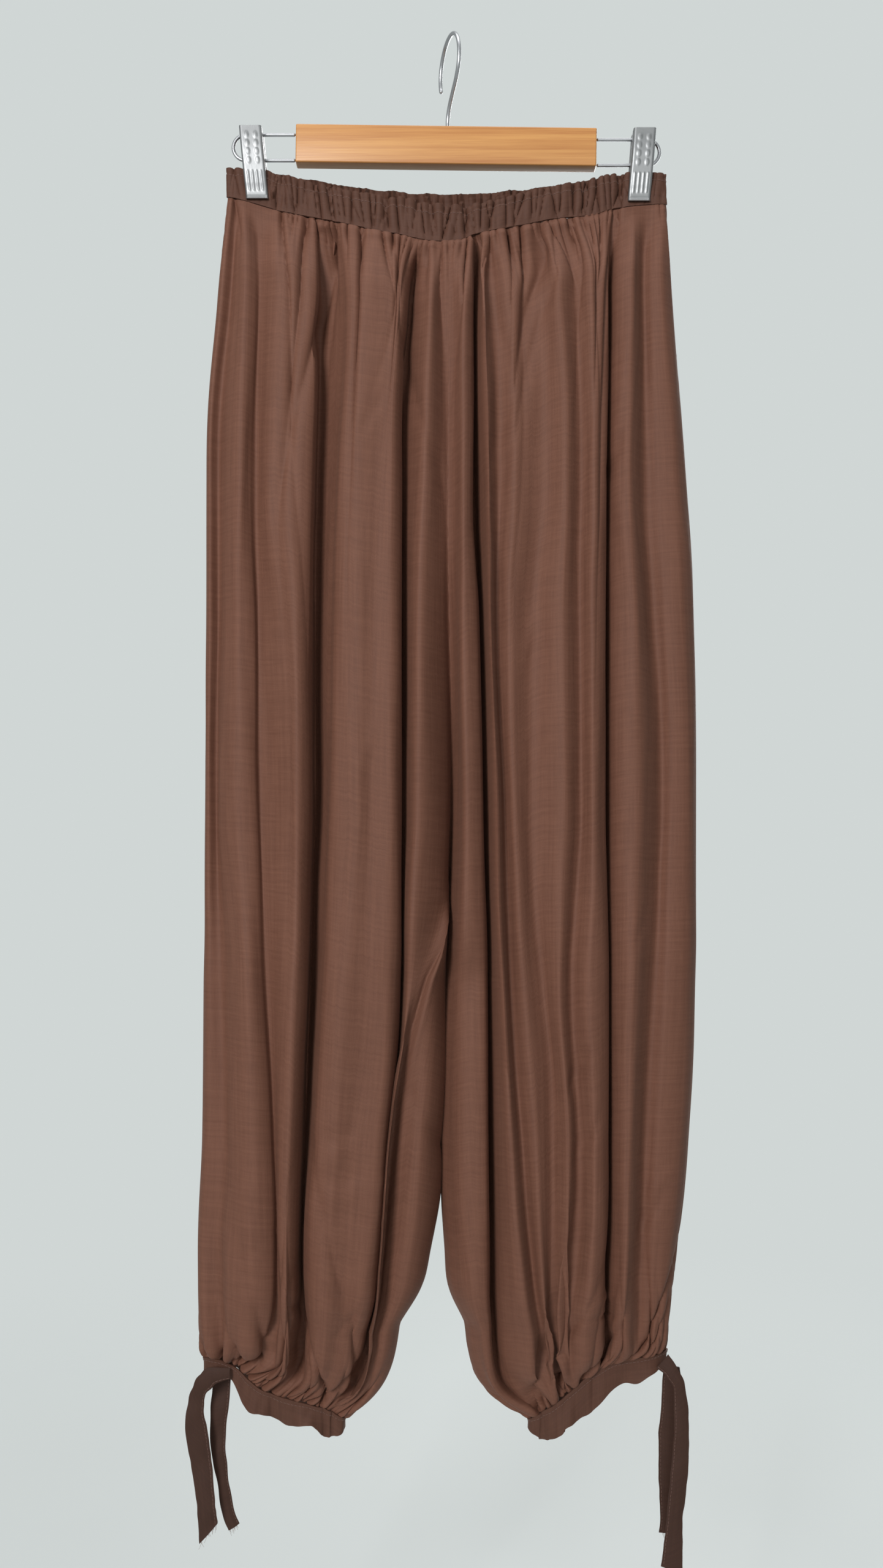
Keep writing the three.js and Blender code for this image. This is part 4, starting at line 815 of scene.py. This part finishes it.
def tubes(name, paths, radius):
    """Many tubes in one mesh. paths has the shape (tubes, points, 3), in millimetres; radius
    is one number or one for each point of a path. Rings stand square to each path."""
    along = unit(np.gradient(paths, axis=1))
    helper = np.where(np.abs(along[..., 2:]) < 0.9, [[[0.0, 0.0, 1.0]]], [[[1.0, 0.0, 0.0]]])
    side = unit(np.cross(along, helper))
    other = np.cross(along, side)
    angle = np.linspace(0, 2 * np.pi, TUBE_SIDES, endpoint=False)[:, None]
    size = np.broadcast_to(np.asarray(radius, float), paths.shape[1:2])[None, :, None, None]
    ring = np.cos(angle) * side[:, :, None] + np.sin(angle) * other[:, :, None]
    points = paths[:, :, None] + ring * size
    count, length = paths.shape[:2]
    ids = np.arange(count * length * TUBE_SIDES).reshape(count, length, TUBE_SIDES)
    turned = np.roll(ids, -1, 2)
    quads = np.stack([ids[:, :-1], turned[:, :-1], turned[:, 1:], ids[:, 1:]], -1).reshape(-1, 4)
    ends = [*ids[:, 0, ::-1].tolist(), *ids[:, -1].tolist()]
    vertices = points.reshape(-1, 3) * MM
    return add_mesh(name, vertices, [*face_out(vertices, quads).tolist(), *ends])


STITCH = dict(pitch=2.9, length=2.1, radius=0.17, rise=0.22, sunk=0.08, points=6)


def stitches(name, path, normals, closed=False):
    """A row of stitches along a path on the cloth. Each covers part of its pitch and bows out
    by rise * (1 - (2t - 1)^4) from just under the surface."""
    if closed:
        path, normals = np.concatenate([path, path[:1]]), np.concatenate([normals, normals[:1]])
    run = arc_lengths(path, 0)
    starts = np.arange(0.5, run[-1] - STITCH["pitch"], STITCH["pitch"])
    t = np.linspace(0, 1, STITCH["points"])
    s = starts[:, None] + STITCH["length"] * t
    place = np.stack([np.interp(s, run, path[:, k]) for k in range(3)], -1)
    out = unit(np.stack([np.interp(s, run, normals[:, k]) for k in range(3)], -1))
    bow = STITCH["rise"] * (1 - (2 * t - 1) ** 4) - STITCH["sunk"]
    return tubes(name, place + out * bow[:, None], STITCH["radius"])


def on_cloth(points, row, thickness, closed):
    """A row of a grid moved to the outer face of its wall, with its normals."""
    normals = grid_normals(points, closed)[row]
    return points[row] + normals * thickness / 2, normals


# %% Rows of sewing
CASING_ROW = 7                # the row of the waistband's grid along which its stitches run
CUFF_ROW = 3                  # and the row of a cuff's grid
TIE_COLUMN = -3               # and the column of a tie's grid, counted from its inner edge
sewing = [stitches("waist_stitches", *on_cloth(band, CASING_ROW, BAND["cloth"], True), closed=True)]
for name, tube in CUFF_TUBES.items():
    seam = on_cloth(tube, CUFF_ROW, CUFF["cloth"], True)
    sewing.append(stitches(name + "_stitches", *seam, closed=True))

FRAY = dict(count=16, points=12, least=1.5, most=7.0, thick=0.13, thin=0.07)


def frayed(name, strip, seed):
    """Loose threads at the cut end of a strap: thin tubes from its last row, downwards, each
    with its own length and bend."""
    rng = np.random.default_rng(seed)
    count = FRAY["count"]
    t = np.linspace(0, 1, FRAY["points"])[None, :, None]
    columns = rng.integers(1, strip.shape[1] - 1, count)
    start = strip[-1, columns][:, None] + [[[0, 0, 0.6]]]
    reach = rng.uniform(FRAY["least"], FRAY["most"], (count, 1, 1)) * rng.choice([0.4, 1.0], (count, 1, 1))
    sway = rng.uniform(-1, 1, (count, 1, 3)) * [[[2.6, 1.4, 0.6]]]
    paths = start + [[[0, 0, -1]]] * (t * reach) + sway * t ** 2 * reach / 6
    return tubes(name, paths, np.linspace(FRAY["thick"], FRAY["thin"], FRAY["points"]))


for name, strip in TIE_STRIPS.items():
    sewing.append(frayed(name + "_threads", strip, TIE_SEEDS[name] + 5))
    normals = grid_normals(strip)[:, TIE_COLUMN]
    facing = np.where(normals[:, 1:2] < 0, 1.0, -1.0)
    hem = strip[:, TIE_COLUMN] + normals * facing * TIE["cloth"] / 2
    sewing.append(stitches(name + "_stitches", hem, normals * facing))
print(len(sewing), "rows of stitches and threads")

# %% [markdown]
# ## Hanger bar, hook and wires
# The hanger is a flat bar of varnished wood with two bent wires that carry the clips. The
# bar is a box with softly rounded edges. The hook is one wire bent to a round crown. On the
# real hanger its straight end is screwed into the bar; here it ends at the top of the bar. A
# tube along a path is the plainest way to bend wire.

# %% Bar and wires
BAR = dict(length=233.0, height=29.4, depth=13.0, x=-2.1, z=-84.0, tilt=-0.0133, rounding=1.1)
WIRE_RADIUS = 1.5
WIRE_SIDES = 18
# The side wires: heights of their two runs, x of their outer ends, how far the hanger's tilt
# lifts one and lowers the other, the gap to the bar, and their radius as a share of the hook's.
SIDE_WIRE = dict(upper=-75.5, lower=-95.5, right=-167.7, left=163.9, tilt=1.9, gap=0.5, thin=0.9)
# The hook's arc, how many degrees its plane is off square to the bar, and the bend below it.
HOOK = dict(radius=23.5, centre=2.0, turn=17.6, bend=[[19, -37], [8.5, -46], [1, -53], [-2.6, -60]],
            foot=[-3.0, -68.4])


def rounded_box(name, length, depth, height, rounding):
    """A box round the origin whose edges are rounded with four segments."""
    ends = (-0.5, 0.5)
    corners = np.array([[x, y, z] for x in ends for y in ends for z in ends])
    sides = [(0, 1, 3, 2), (4, 6, 7, 5), (0, 4, 5, 1), (2, 3, 7, 6), (0, 2, 6, 4), (1, 5, 7, 3)]
    made = add_mesh(name, corners * [length * MM, depth * MM, height * MM], sides)
    body = bmesh.new()
    body.from_mesh(made.data)
    bmesh.ops.bevel(body, geom=body.edges[:], offset=rounding * MM, segments=4, profile=0.5, affect="EDGES")
    body.to_mesh(made.data)
    body.free()
    made.data.shade_smooth()
    return made


def place(made, turn, x, y, z):
    """Bakes a turn about Y and a move, in millimetres, into the mesh; the object stays at 0."""
    made.data.transform(Matrix.Translation((x * MM, y * MM, z * MM)) @ Matrix.Rotation(turn, 4, "Y"))
    return made


bar = place(rounded_box("bar", BAR["length"], BAR["depth"], BAR["height"], BAR["rounding"]),
            -BAR["tilt"], BAR["x"], 0, BAR["z"])


# %% Bending wire
def smooth_path(points, count):
    """A curve through points with count steps: Catmull-Rom by running length."""
    points = np.array(points, float)
    run = arc_lengths(points, 0)
    slope = np.gradient(points, run, axis=0)
    s = np.linspace(0, run[-1], count)
    i = np.clip(np.searchsorted(run, s) - 1, 0, len(run) - 2)
    width = (run[i + 1] - run[i])[:, None]
    t = (s[:, None] - run[i][:, None]) / width
    value = (2 * t ** 3 - 3 * t ** 2 + 1) * points[i] + (3 * t ** 2 - 2 * t ** 3) * points[i + 1]
    return value + width * ((t ** 3 - 2 * t ** 2 + t) * slope[i] + (t ** 3 - t ** 2) * slope[i + 1])


def wire(name, path, radius):
    """One round wire with rounded ends: its radius closes at both tips."""
    path = np.asarray(path, float)
    run = arc_lengths(path, 0)
    tip = np.minimum(run, run[-1] - run)
    size = radius * np.sqrt(np.clip(1 - (1 - np.clip(tip / radius, 0, 1)) ** 2, 0.02, 1))
    along = unit(np.gradient(path, axis=0))
    side = unit(np.cross(along, [0.31, 0.95, 0.02]))
    other = np.cross(along, side)
    angle = np.linspace(0, 2 * np.pi, WIRE_SIDES, endpoint=False)
    ring = np.cos(angle)[None, :, None] * side[:, None] + np.sin(angle)[None, :, None] * other[:, None]
    points = path[:, None] + ring * size[:, None, None]
    ids = np.arange(points.shape[0] * WIRE_SIDES).reshape(-1, WIRE_SIDES)
    turned = np.roll(ids, -1, 1)
    quads = np.stack([ids[:-1], turned[:-1], turned[1:], ids[1:]], -1).reshape(-1, 4)
    vertices = points.reshape(-1, 3) * MM
    caps = [ids[0, ::-1].tolist(), ids[-1].tolist()]
    return add_mesh(name, vertices, [*face_out(vertices, quads).tolist(), *caps])


def dense(path, step=0.5):
    """A path with a point about every step millimetres, closer together near its ends."""
    run = arc_lengths(path, 0)
    s = np.linspace(0, 1, max(12, int(run[-1] / step)))
    s = run[-1] * (s - 0.9 * np.sin(2 * np.pi * s) / (2 * np.pi) * 0.5)
    return np.stack([np.interp(s, run, path[:, k]) for k in range(3)], -1)


def hook_path():
    """The hook's centreline in its own upright plane: an arc from 205 to -15 degrees, and an
    S bend down to the shank."""
    turn = math.radians(HOOK["turn"])
    arc = np.radians(np.arange(205, -16, -10))
    s = HOOK["centre"] + HOOK["radius"] * np.cos(arc)
    z = WIRE_RADIUS - HOOK["radius"] + HOOK["radius"] * np.sin(arc)
    flat = np.concatenate([np.stack([s, z], 1), HOOK["bend"], [HOOK["foot"]]])
    return np.stack([flat[:, 0] * math.sin(turn), -flat[:, 0] * math.cos(turn), flat[:, 1]], 1)


def side_path(side):
    """One side wire: out of the bar's end, round a half circle, and back in again."""
    bend = (SIDE_WIRE["upper"] - SIDE_WIRE["lower"]) / 2
    middle = (SIDE_WIRE["upper"] + SIDE_WIRE["lower"]) / 2 - side * SIDE_WIRE["tilt"]
    start = BAR["x"] + side * (BAR["length"] / 2 + SIDE_WIRE["gap"])
    far = SIDE_WIRE["left" if side > 0 else "right"] - side * bend
    turn = np.radians(np.linspace(90, -90, 25))
    x = np.concatenate([[start], far + side * bend * np.cos(turn), [start]])
    z = np.concatenate([[middle + bend], middle + bend * np.sin(turn), [middle - bend]])
    return np.stack([x, 0 * x, z], 1)


hook = wire("hook_wire", dense(smooth_path(hook_path(), 200), 0.6), WIRE_RADIUS)
side_wires = {name: wire(name + "_steel", dense(side_path(side)), WIRE_RADIUS * SIDE_WIRE["thin"])
              for name, side in (("side_wire_right", -1), ("side_wire_left", 1))}

# %% [markdown]
# ## Clips
# Each clip is two pressed steel plates with folded sides. The upper half has two columns of
# raised ovals for grip, the lower half four upright ribs, and the lip at the bottom bends
# out. Pressing pushes the sheet straight out of its face, so the relief is a formula.

# %% Pressed clips
CLIP = dict(width=16.6, sheet=0.8, height=55.0, corner=1.6, rows=104, columns=61)
JAW = dict(z=[0, 14, 25, 31, 42, 51, 55], y=[9.4, 9.8, 8.8, 8.0, 6.0, 4.5, 6.2],
           inward=[6.9, 7.5, 6.4, 3.6, 1.8, 1.0, 1.0])
OVALS = dict(x=(-3.4, 3.4), z=(7.5, 13.8, 20.1, 26.4), width=1.5, height=2.5, rise=0.4)
RIBS = dict(x=(-5.1, -1.7, 1.7, 5.1), top=33.0, bottom=49.5, width=0.75, rise=0.42)


def jaw(name, centre_x, top_z, lean, front):
    """One jaw as a bent sheet. Across, it runs up one side fold, round a corner of radius
    corner, over the face and back. Ovals and ribs are smooth bumps that rise out of the face."""
    half, corner = CLIP["width"] / 2, CLIP["corner"]
    down = np.linspace(0, CLIP["height"], CLIP["rows"])[:, None]
    y, inward = monotone(JAW["z"], JAW["y"], down), monotone(JAW["z"], JAW["inward"], down)
    reach = half - corner + corner * np.pi / 2 + np.maximum(inward - corner, 0.1)
    a = np.linspace(-1, 1, CLIP["columns"])[None] * reach
    theta = np.clip((np.abs(a) - (half - corner)) / corner, 0, np.pi / 2)
    past = np.maximum(np.abs(a) - (half - corner) - corner * np.pi / 2, 0)
    x = np.sign(a) * (np.minimum(np.abs(a), half - corner) + corner * np.sin(theta))
    fold_in = corner * (1 - np.cos(theta)) + past
    points = np.stack([centre_x + x - lean * down, front * (y - fold_in), top_z - down + 0 * x], -1)
    oval = sum(np.exp(-(((x - ox) / OVALS["width"]) ** 2 + ((down - oz) / OVALS["height"]) ** 2) ** 2)
               for ox in OVALS["x"] for oz in OVALS["z"])
    within = smoothstep((down - RIBS["top"]) / 2) * smoothstep((RIBS["bottom"] - down) / 2)
    rib = sum(np.exp(-((x - rx) / RIBS["width"]) ** 2) for rx in RIBS["x"]) * within
    flat_face = past[..., None] <= 0
    outward = np.array([0, front, 0.0])
    points = points + flat_face * (OVALS["rise"] * oval + RIBS["rise"] * rib)[..., None] * outward
    return wall(name, points, CLIP["sheet"])


CLIPS = {"clip_right": dict(centre_x=-153.5, top_z=-70.5, lean=-0.09),
         "clip_left": dict(centre_x=151.5, top_z=-72.3, lean=0.075)}
jaws = {}
for name, place_of in CLIPS.items():
    for side, front in (("_front", -1), ("_back", 1)):
        jaws[name + side] = jaw(name + side + "_steel", front=front, **place_of)
print("clip faces", len(jaws["clip_left_front"].data.polygons))

# %% [markdown]
# ## Writing materials as formulas
# A material is a tree of nodes, and arithmetic made of nodes is hard to read. The small class
# below wraps a socket, so that a formula can be written with + - * / and still makes nodes.

# %% Sockets with arithmetic
class Socket:
    """A shader socket with arithmetic. Numbers may stand on either side. node() adds any
    other node to the same tree and gives one of its outputs."""

    def __init__(self, tree, socket):
        self.tree = tree
        self.socket = socket

    def node(self, kind, inputs=None, output=0, **settings):
        made = self.tree.nodes.new(kind)
        for key, value in settings.items():
            setattr(made, key, value)
        for key, value in (inputs or {}).items():
            if isinstance(value, Socket):
                self.tree.links.new(value.socket, made.inputs[key])
            else:
                made.inputs[key].default_value = value
        return Socket(self.tree, made.outputs[output])

    def maths(self, operation, first, second):
        return self.node("ShaderNodeMath", {0: first, 1: second}, operation=operation)

    def __add__(self, other):
        """self + other; the seven below do the same for - * / and for a number on the left."""
        return self.maths("ADD", self, other)

    def __radd__(self, other):
        return self.maths("ADD", other, self)

    def __sub__(self, other):
        return self.maths("SUBTRACT", self, other)

    def __rsub__(self, other):
        return self.maths("SUBTRACT", other, self)

    def __mul__(self, other):
        return self.maths("MULTIPLY", self, other)

    def __rmul__(self, other):
        return self.maths("MULTIPLY", other, self)

    def __truediv__(self, other):
        return self.maths("DIVIDE", self, other)

    def __rtruediv__(self, other):
        return self.maths("DIVIDE", other, self)

    def noise(self, scale, detail=2.0):
        """Noise of this position, from 0 to 1 with a mean of a half."""
        return self.node("ShaderNodeTexNoise", {"Vector": self, "Scale": scale, "Detail": detail})

    def stretched(self, x, y, z):
        """This position with each axis multiplied."""
        return self.node("ShaderNodeVectorMath", {0: self, 1: (x, y, z)}, operation="MULTIPLY")


def linear(red, green, blue):
    """A colour given as 0 to 255 on a screen, as the light it stands for."""
    srgb = np.array([red, green, blue]) / 255
    value = np.where(srgb <= 0.04045, srgb / 12.92, ((srgb + 0.055) / 1.055) ** 2.4)
    return (*value.tolist(), 1.0)


def material(name, **constants):
    """A new material with a Principled shader whose sockets are set to constants. Gives the
    material, its shader and a socket with the object's own position."""
    made = bpy.data.materials.new(name)
    made.use_nodes = True
    tree = made.node_tree
    shader = next(node for node in tree.nodes if node.type == "BSDF_PRINCIPLED")
    for key, value in constants.items():
        shader.inputs[key.replace("_", " ")].default_value = value
    place = Socket(tree, tree.nodes.new("ShaderNodeTexCoord").outputs["Object"])
    return made, shader, place


def feed(shader, key, value):
    """Links a formula to one of a shader's sockets."""
    value.tree.links.new(value.socket, shader.inputs[key])


def blend(factor, first, second):
    """The colour between two colours at factor."""
    return factor.node("ShaderNodeMix", {0: factor, 6: first, 7: second}, output=2, data_type="RGBA")


def bump(height, distance):
    """A normal from a height between 0 and 1 that stands for distance metres."""
    return height.node("ShaderNodeBump", {"Height": height, "Distance": distance, "Strength": 1.0})


# %% [markdown]
# ## Materials
# The cloth is a thin dark brown viscose with a soft hand and hardly any shine. Its colour
# is a little uneven: slubs in the yarn show as short fine lines along and across the cloth.
# The UV map is in metres of cloth, so the yarn follows each fold instead of the room. Wood
# and plated steel need no map: their noises read the object's own position.

# %% Cloth material
BROWN = linear(105, 69, 54)
BROWN_PALE = linear(128, 88, 71)
BROWN_DEEP = linear(84, 52, 40)
FUZZ = linear(190, 150, 130)  # tint of the faint sheen
PALE_YARN = 0.34              # how much of the colour follows the uneven yarn
# Painted shade: the band, cuffs and ties are the same cloth, but their colour is multiplied by a share
# below 1 because they face the lamps squarely.
SHADES = dict(legs=1.0, band=0.58, ties=0.3)   # flat pieces face the light, so theirs is lower


def cloth_material(name, shade):
    """Brown cloth times shade, a painted shade that is below 1 for the band, cuffs and ties, and a faint
    random blotchy tint. Fine warp and weft and longer slubs come from noise stretched along the UV axes;
    they mix two browns, roughen the surface and raise its bump."""
    made, shader, place = material(name, Sheen_Weight=0.1, Sheen_Roughness=0.4, Sheen_Tint=FUZZ,
                                   Specular_IOR_Level=0.25)
    uv = place.node("ShaderNodeUVMap", uv_map="cloth")
    warp = uv.stretched(2600, 90, 1).noise(1.0, 2)
    weft = uv.stretched(90, 2600, 1).noise(1.0, 2)
    blotch = place.noise(9.0, 3)
    slubs = (uv.stretched(380, 13, 1).noise(1.0, 2) + uv.stretched(26, 420, 1).noise(1.0, 2)) * 0.5
    yarn = (warp + weft) * 0.2 + slubs * 0.6
    pale = blend((yarn - 0.38) * 4.0, BROWN_DEEP, BROWN_PALE)
    even = place.node("ShaderNodeMix", {0: PALE_YARN, 6: BROWN, 7: pale}, output=2, data_type="RGBA")
    # Painted shade: the colour is multiplied by shade, and a slow blotchy noise, a random tint, makes it
    # slightly lighter and redder in places.
    low, high = (shade,) * 3 + (1.0,), (shade * 1.12, shade * 1.1, shade * 1.1, 1.0)
    painted_shade_and_blotch = blend((blotch - 0.35) * 0.5, low, high)
    colour = even.node("ShaderNodeMix", {0: 1.0, 6: even, 7: painted_shade_and_blotch}, output=2, data_type="RGBA",
                       blend_type="MULTIPLY")
    feed(shader, "Base Color", colour)
    feed(shader, "Roughness", 0.58 + yarn * 0.2)
    feed(shader, "Normal", bump(warp * 0.2 + weft * 0.2 + slubs * 0.6, 0.0005))
    return made


# %% Thread, wood and steel
THREAD = linear(88, 60, 50), linear(112, 78, 66)
WOOD = linear(204, 148, 86), linear(172, 110, 56)
FLOOR = linear(206, 211, 210), linear(212, 217, 216)


def thread_material():
    """Thread that is uneven between its two colours."""
    made, shader, place = material("sewing thread", Roughness=0.6, Sheen_Weight=0.2)
    feed(shader, "Base Color", blend(place.noise(900.0, 1), *THREAD))
    return made


def wood_material():
    """Varnished pale wood with its grain along the bar: three noises, stretched more and more
    along it, give the soft shades, the grain and the fine pores."""
    made, shader, place = material("varnished wood", Coat_Weight=0.12, Coat_Roughness=0.25)
    bend = place.stretched(2.2, 18, 18).noise(1.6, 3)
    grain = place.stretched(3, 60, 150).noise(1.7, 5)
    pores = place.stretched(30, 900, 1500).noise(1.0, 3)
    tone = grain * 0.8 + bend * 0.3 + (pores - 0.5) * 0.35
    feed(shader, "Base Color", blend((tone - 0.38) * 2.8, *WOOD))
    feed(shader, "Roughness", 0.34 + pores * 0.14)
    feed(shader, "Normal", bump(pores * 0.6 + grain * 0.4, 0.00008))
    return made


def steel_material(name, colour, roughness):
    """Plated steel with a little haze: roughness and brightness vary over the surface."""
    made, shader, place = material(name, Metallic=1.0)
    haze = place.noise(160.0, 4)
    scratches = place.stretched(1400, 1400, 120).noise(1.0, 2)
    low = tuple(c * 0.82 for c in colour[:3]) + (1.0,)
    feed(shader, "Base Color", blend(haze, low, colour))
    feed(shader, "Roughness", roughness + haze * 0.12 + (scratches - 0.5) * 0.1)
    feed(shader, "Normal", bump(scratches, 0.00003))
    return made


# %% Dressing
PANEL_PARTS = ("top", "middle", "low")   # the CAD model parts each panel at two heights
cloth = cloth_material("brown viscose", SHADES["legs"])
# The band, cuffs and ties get darker copies of the cloth, a painted shade.
band_cloth = cloth_material("brown viscose, painted shade, band and cuffs", SHADES["band"])
tie_cloth = cloth_material("brown viscose, painted shade, straps", SHADES["ties"])
thread = thread_material()
wood = wood_material()
wire_steel = steel_material("bright wire", linear(176, 177, 180), 0.28)
clip_steel = steel_material("zinc plate", linear(146, 147, 148), 0.4)


def dress(made, finish, replaced):
    """Gives a piece its material and tells the frame what it stands for."""
    made.data.materials.clear()
    made.data.materials.append(finish)
    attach(made, "root")
    if replaced:
        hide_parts(*replaced)
    return made


for name, piece in pieces.items():
    dress(piece, cloth, [name + "_" + part for part in PANEL_PARTS])
dress(waistband, band_cloth, ["waistband"])
for name, piece in cuffs.items():
    dress(piece, band_cloth, [name])
for name, piece in ties.items():
    dress(piece, tie_cloth, [name])
for piece in sewing:
    dress(piece, thread, [])
dress(bar, wood, ["hanger_bar"])
dress(hook, wire_steel, ["hook"])
for name, piece in side_wires.items():
    dress(piece, wire_steel, [name])
for name, piece in jaws.items():
    dress(piece, clip_steel, [name])

# %% [markdown]
# ## What the cloth is
# For each piece of cloth the flat size it was cut to, its area and how it is held are printed. The flat
# area is measured along the folds of the surface that was made here.

# %% Sheets
def declare(made, points, held, rests_on, closed=False, with_pieces=()):
    """The flat size of a sheet is its greatest width along the folds and its greatest length.
    Its area is the sum, down the sheet, of each row's width times its distance to the next."""
    ring = np.concatenate([points, points[:, :1]], 1) if closed else points
    widths, lengths = arc_lengths(ring, 1)[:, -1], arc_lengths(points, 0)[-1]
    flat = (round(float(widths.max()) * MM, 3), round(float(lengths.max()) * MM, 3))
    steps = np.diff(arc_lengths(points, 0), axis=0).mean(1)
    area = float((widths[:-1] + widths[1:]) @ steps) / 2 * MM * MM
    area = min(area, flat[0] * flat[1])
    print(made.name, "flat", flat, "m, area", round(area, 4), "m2, held", held)


for name, piece in pieces.items():
    declare(piece, PANELS[name], "hung", ["waistband_cloth"])
declare(waistband, band, "gathered", ["clip_right_front_steel", "clip_left_front_steel"], closed=True,
        with_pieces=["waist_stitches"])
for name, piece in cuffs.items():
    leg = name.split("_")[1]
    declare(piece, CUFF_TUBES[name], "gathered", ["front_" + leg + "_cloth"], closed=True,
            with_pieces=[name + "_stitches"])
for name, piece in ties.items():
    leg = name.split("_")[1]
    declare(piece, TIE_STRIPS[name], "hung", ["cuff_" + leg + "_cloth"],
            with_pieces=[name + "_threads", name + "_stitches"])

# %% [markdown]
# ## Floor and light
# The garment hangs free, so the floor lies well below it. Soft light suits cloth: a large
# panel in front, a little to the left, shows the folds, a weaker one fills from the right, one
# above and one behind light the edges, and a pale world closes the shadows.

# %% Floor, world and lamps
FLOOR_Z = -1.42
FLOOR_HALF = 3                # half the side of the square floor
FLOOR_FADE = (0.4, 1.5)       # it fades into the world between these distances
WORLD_COLOUR = linear(210, 216, 215)
WORLD_LIGHT = 0.3             # strength of the world as a light, and as the backdrop that is seen
WORLD_SEEN = 0.98
IN_GLOSS = 0.7                # how much of the backdrop's strength a reflection sees
# Each lamp's place, the point it looks at, its width and height in metres, and its watts.
LAMPS = {
    "key": dict(place=(-1.15, -2.5, 0.25), aim=(0, 0, -0.55), size=(0.7, 1.4), power=64),
    "fill": dict(place=(0.7, -3.0, -0.1), aim=(0, 0, -0.6), size=(1.6, 1.8), power=14),
    "top": dict(place=(0.0, -0.2, 1.3), aim=(0, 0, -0.3), size=(1.6, 1.0), power=14),
    "back": dict(place=(0.9, 2.4, 0.4), aim=(0, 0, -0.55), size=(1.6, 1.6), power=58),
}


def floor():
    """A pale square that fades out with the distance from its middle."""
    half = FLOOR_HALF
    corners = [(-half, -half, FLOOR_Z), (half, -half, FLOOR_Z), (half, half, FLOOR_Z),
               (-half, half, FLOOR_Z)]
    plane = add_mesh("floor", corners, [(0, 1, 2, 3)])
    made, shader, place = material("plain floor", Roughness=0.9)
    feed(shader, "Base Color", blend(place.noise(3.0, 3), *FLOOR))
    level = place.stretched(1, 1, 0)
    away = level.node("ShaderNodeVectorMath", {0: level}, output="Value", operation="LENGTH")
    near, far = FLOOR_FADE
    feed(shader, "Alpha", away.node("ShaderNodeMapRange", {0: away, 1: near, 2: far, 3: 1.0, 4: 0.0},
                                    interpolation_type="SMOOTHSTEP"))
    plane.data.materials.append(made)


def lamp(name, place, aim, size, power):
    """An area lamp at place, turned to look at aim."""
    data = bpy.data.lights.new(name, "AREA")
    data.shape = "RECTANGLE"
    data.size, data.size_y = size
    data.energy = power
    made = bpy.data.objects.new(name, data)
    made.location = place
    made.rotation_euler = (Vector(aim) - Vector(place)).to_track_quat("-Z", "Y").to_euler()
    bpy.context.scene.collection.objects.link(made)


floor()
for name, settings in LAMPS.items():
    lamp(name, **settings)
world = bpy.data.worlds.new("pale room")
world.use_nodes = True
room = Socket(world.node_tree, None)
camera_ray = room.node("ShaderNodeLightPath")
glossy_ray = Socket(world.node_tree, camera_ray.socket.node.outputs["Is Glossy Ray"])
seen = camera_ray.maths("MAXIMUM", camera_ray, glossy_ray * IN_GLOSS)
background = world.node_tree.nodes["Background"]
background.inputs["Color"].default_value = WORLD_COLOUR
feed(background, "Strength", WORLD_LIGHT + seen * (WORLD_SEEN - WORLD_LIGHT))
bpy.context.scene.world = world
bpy.context.scene.view_settings.view_transform = "Standard"
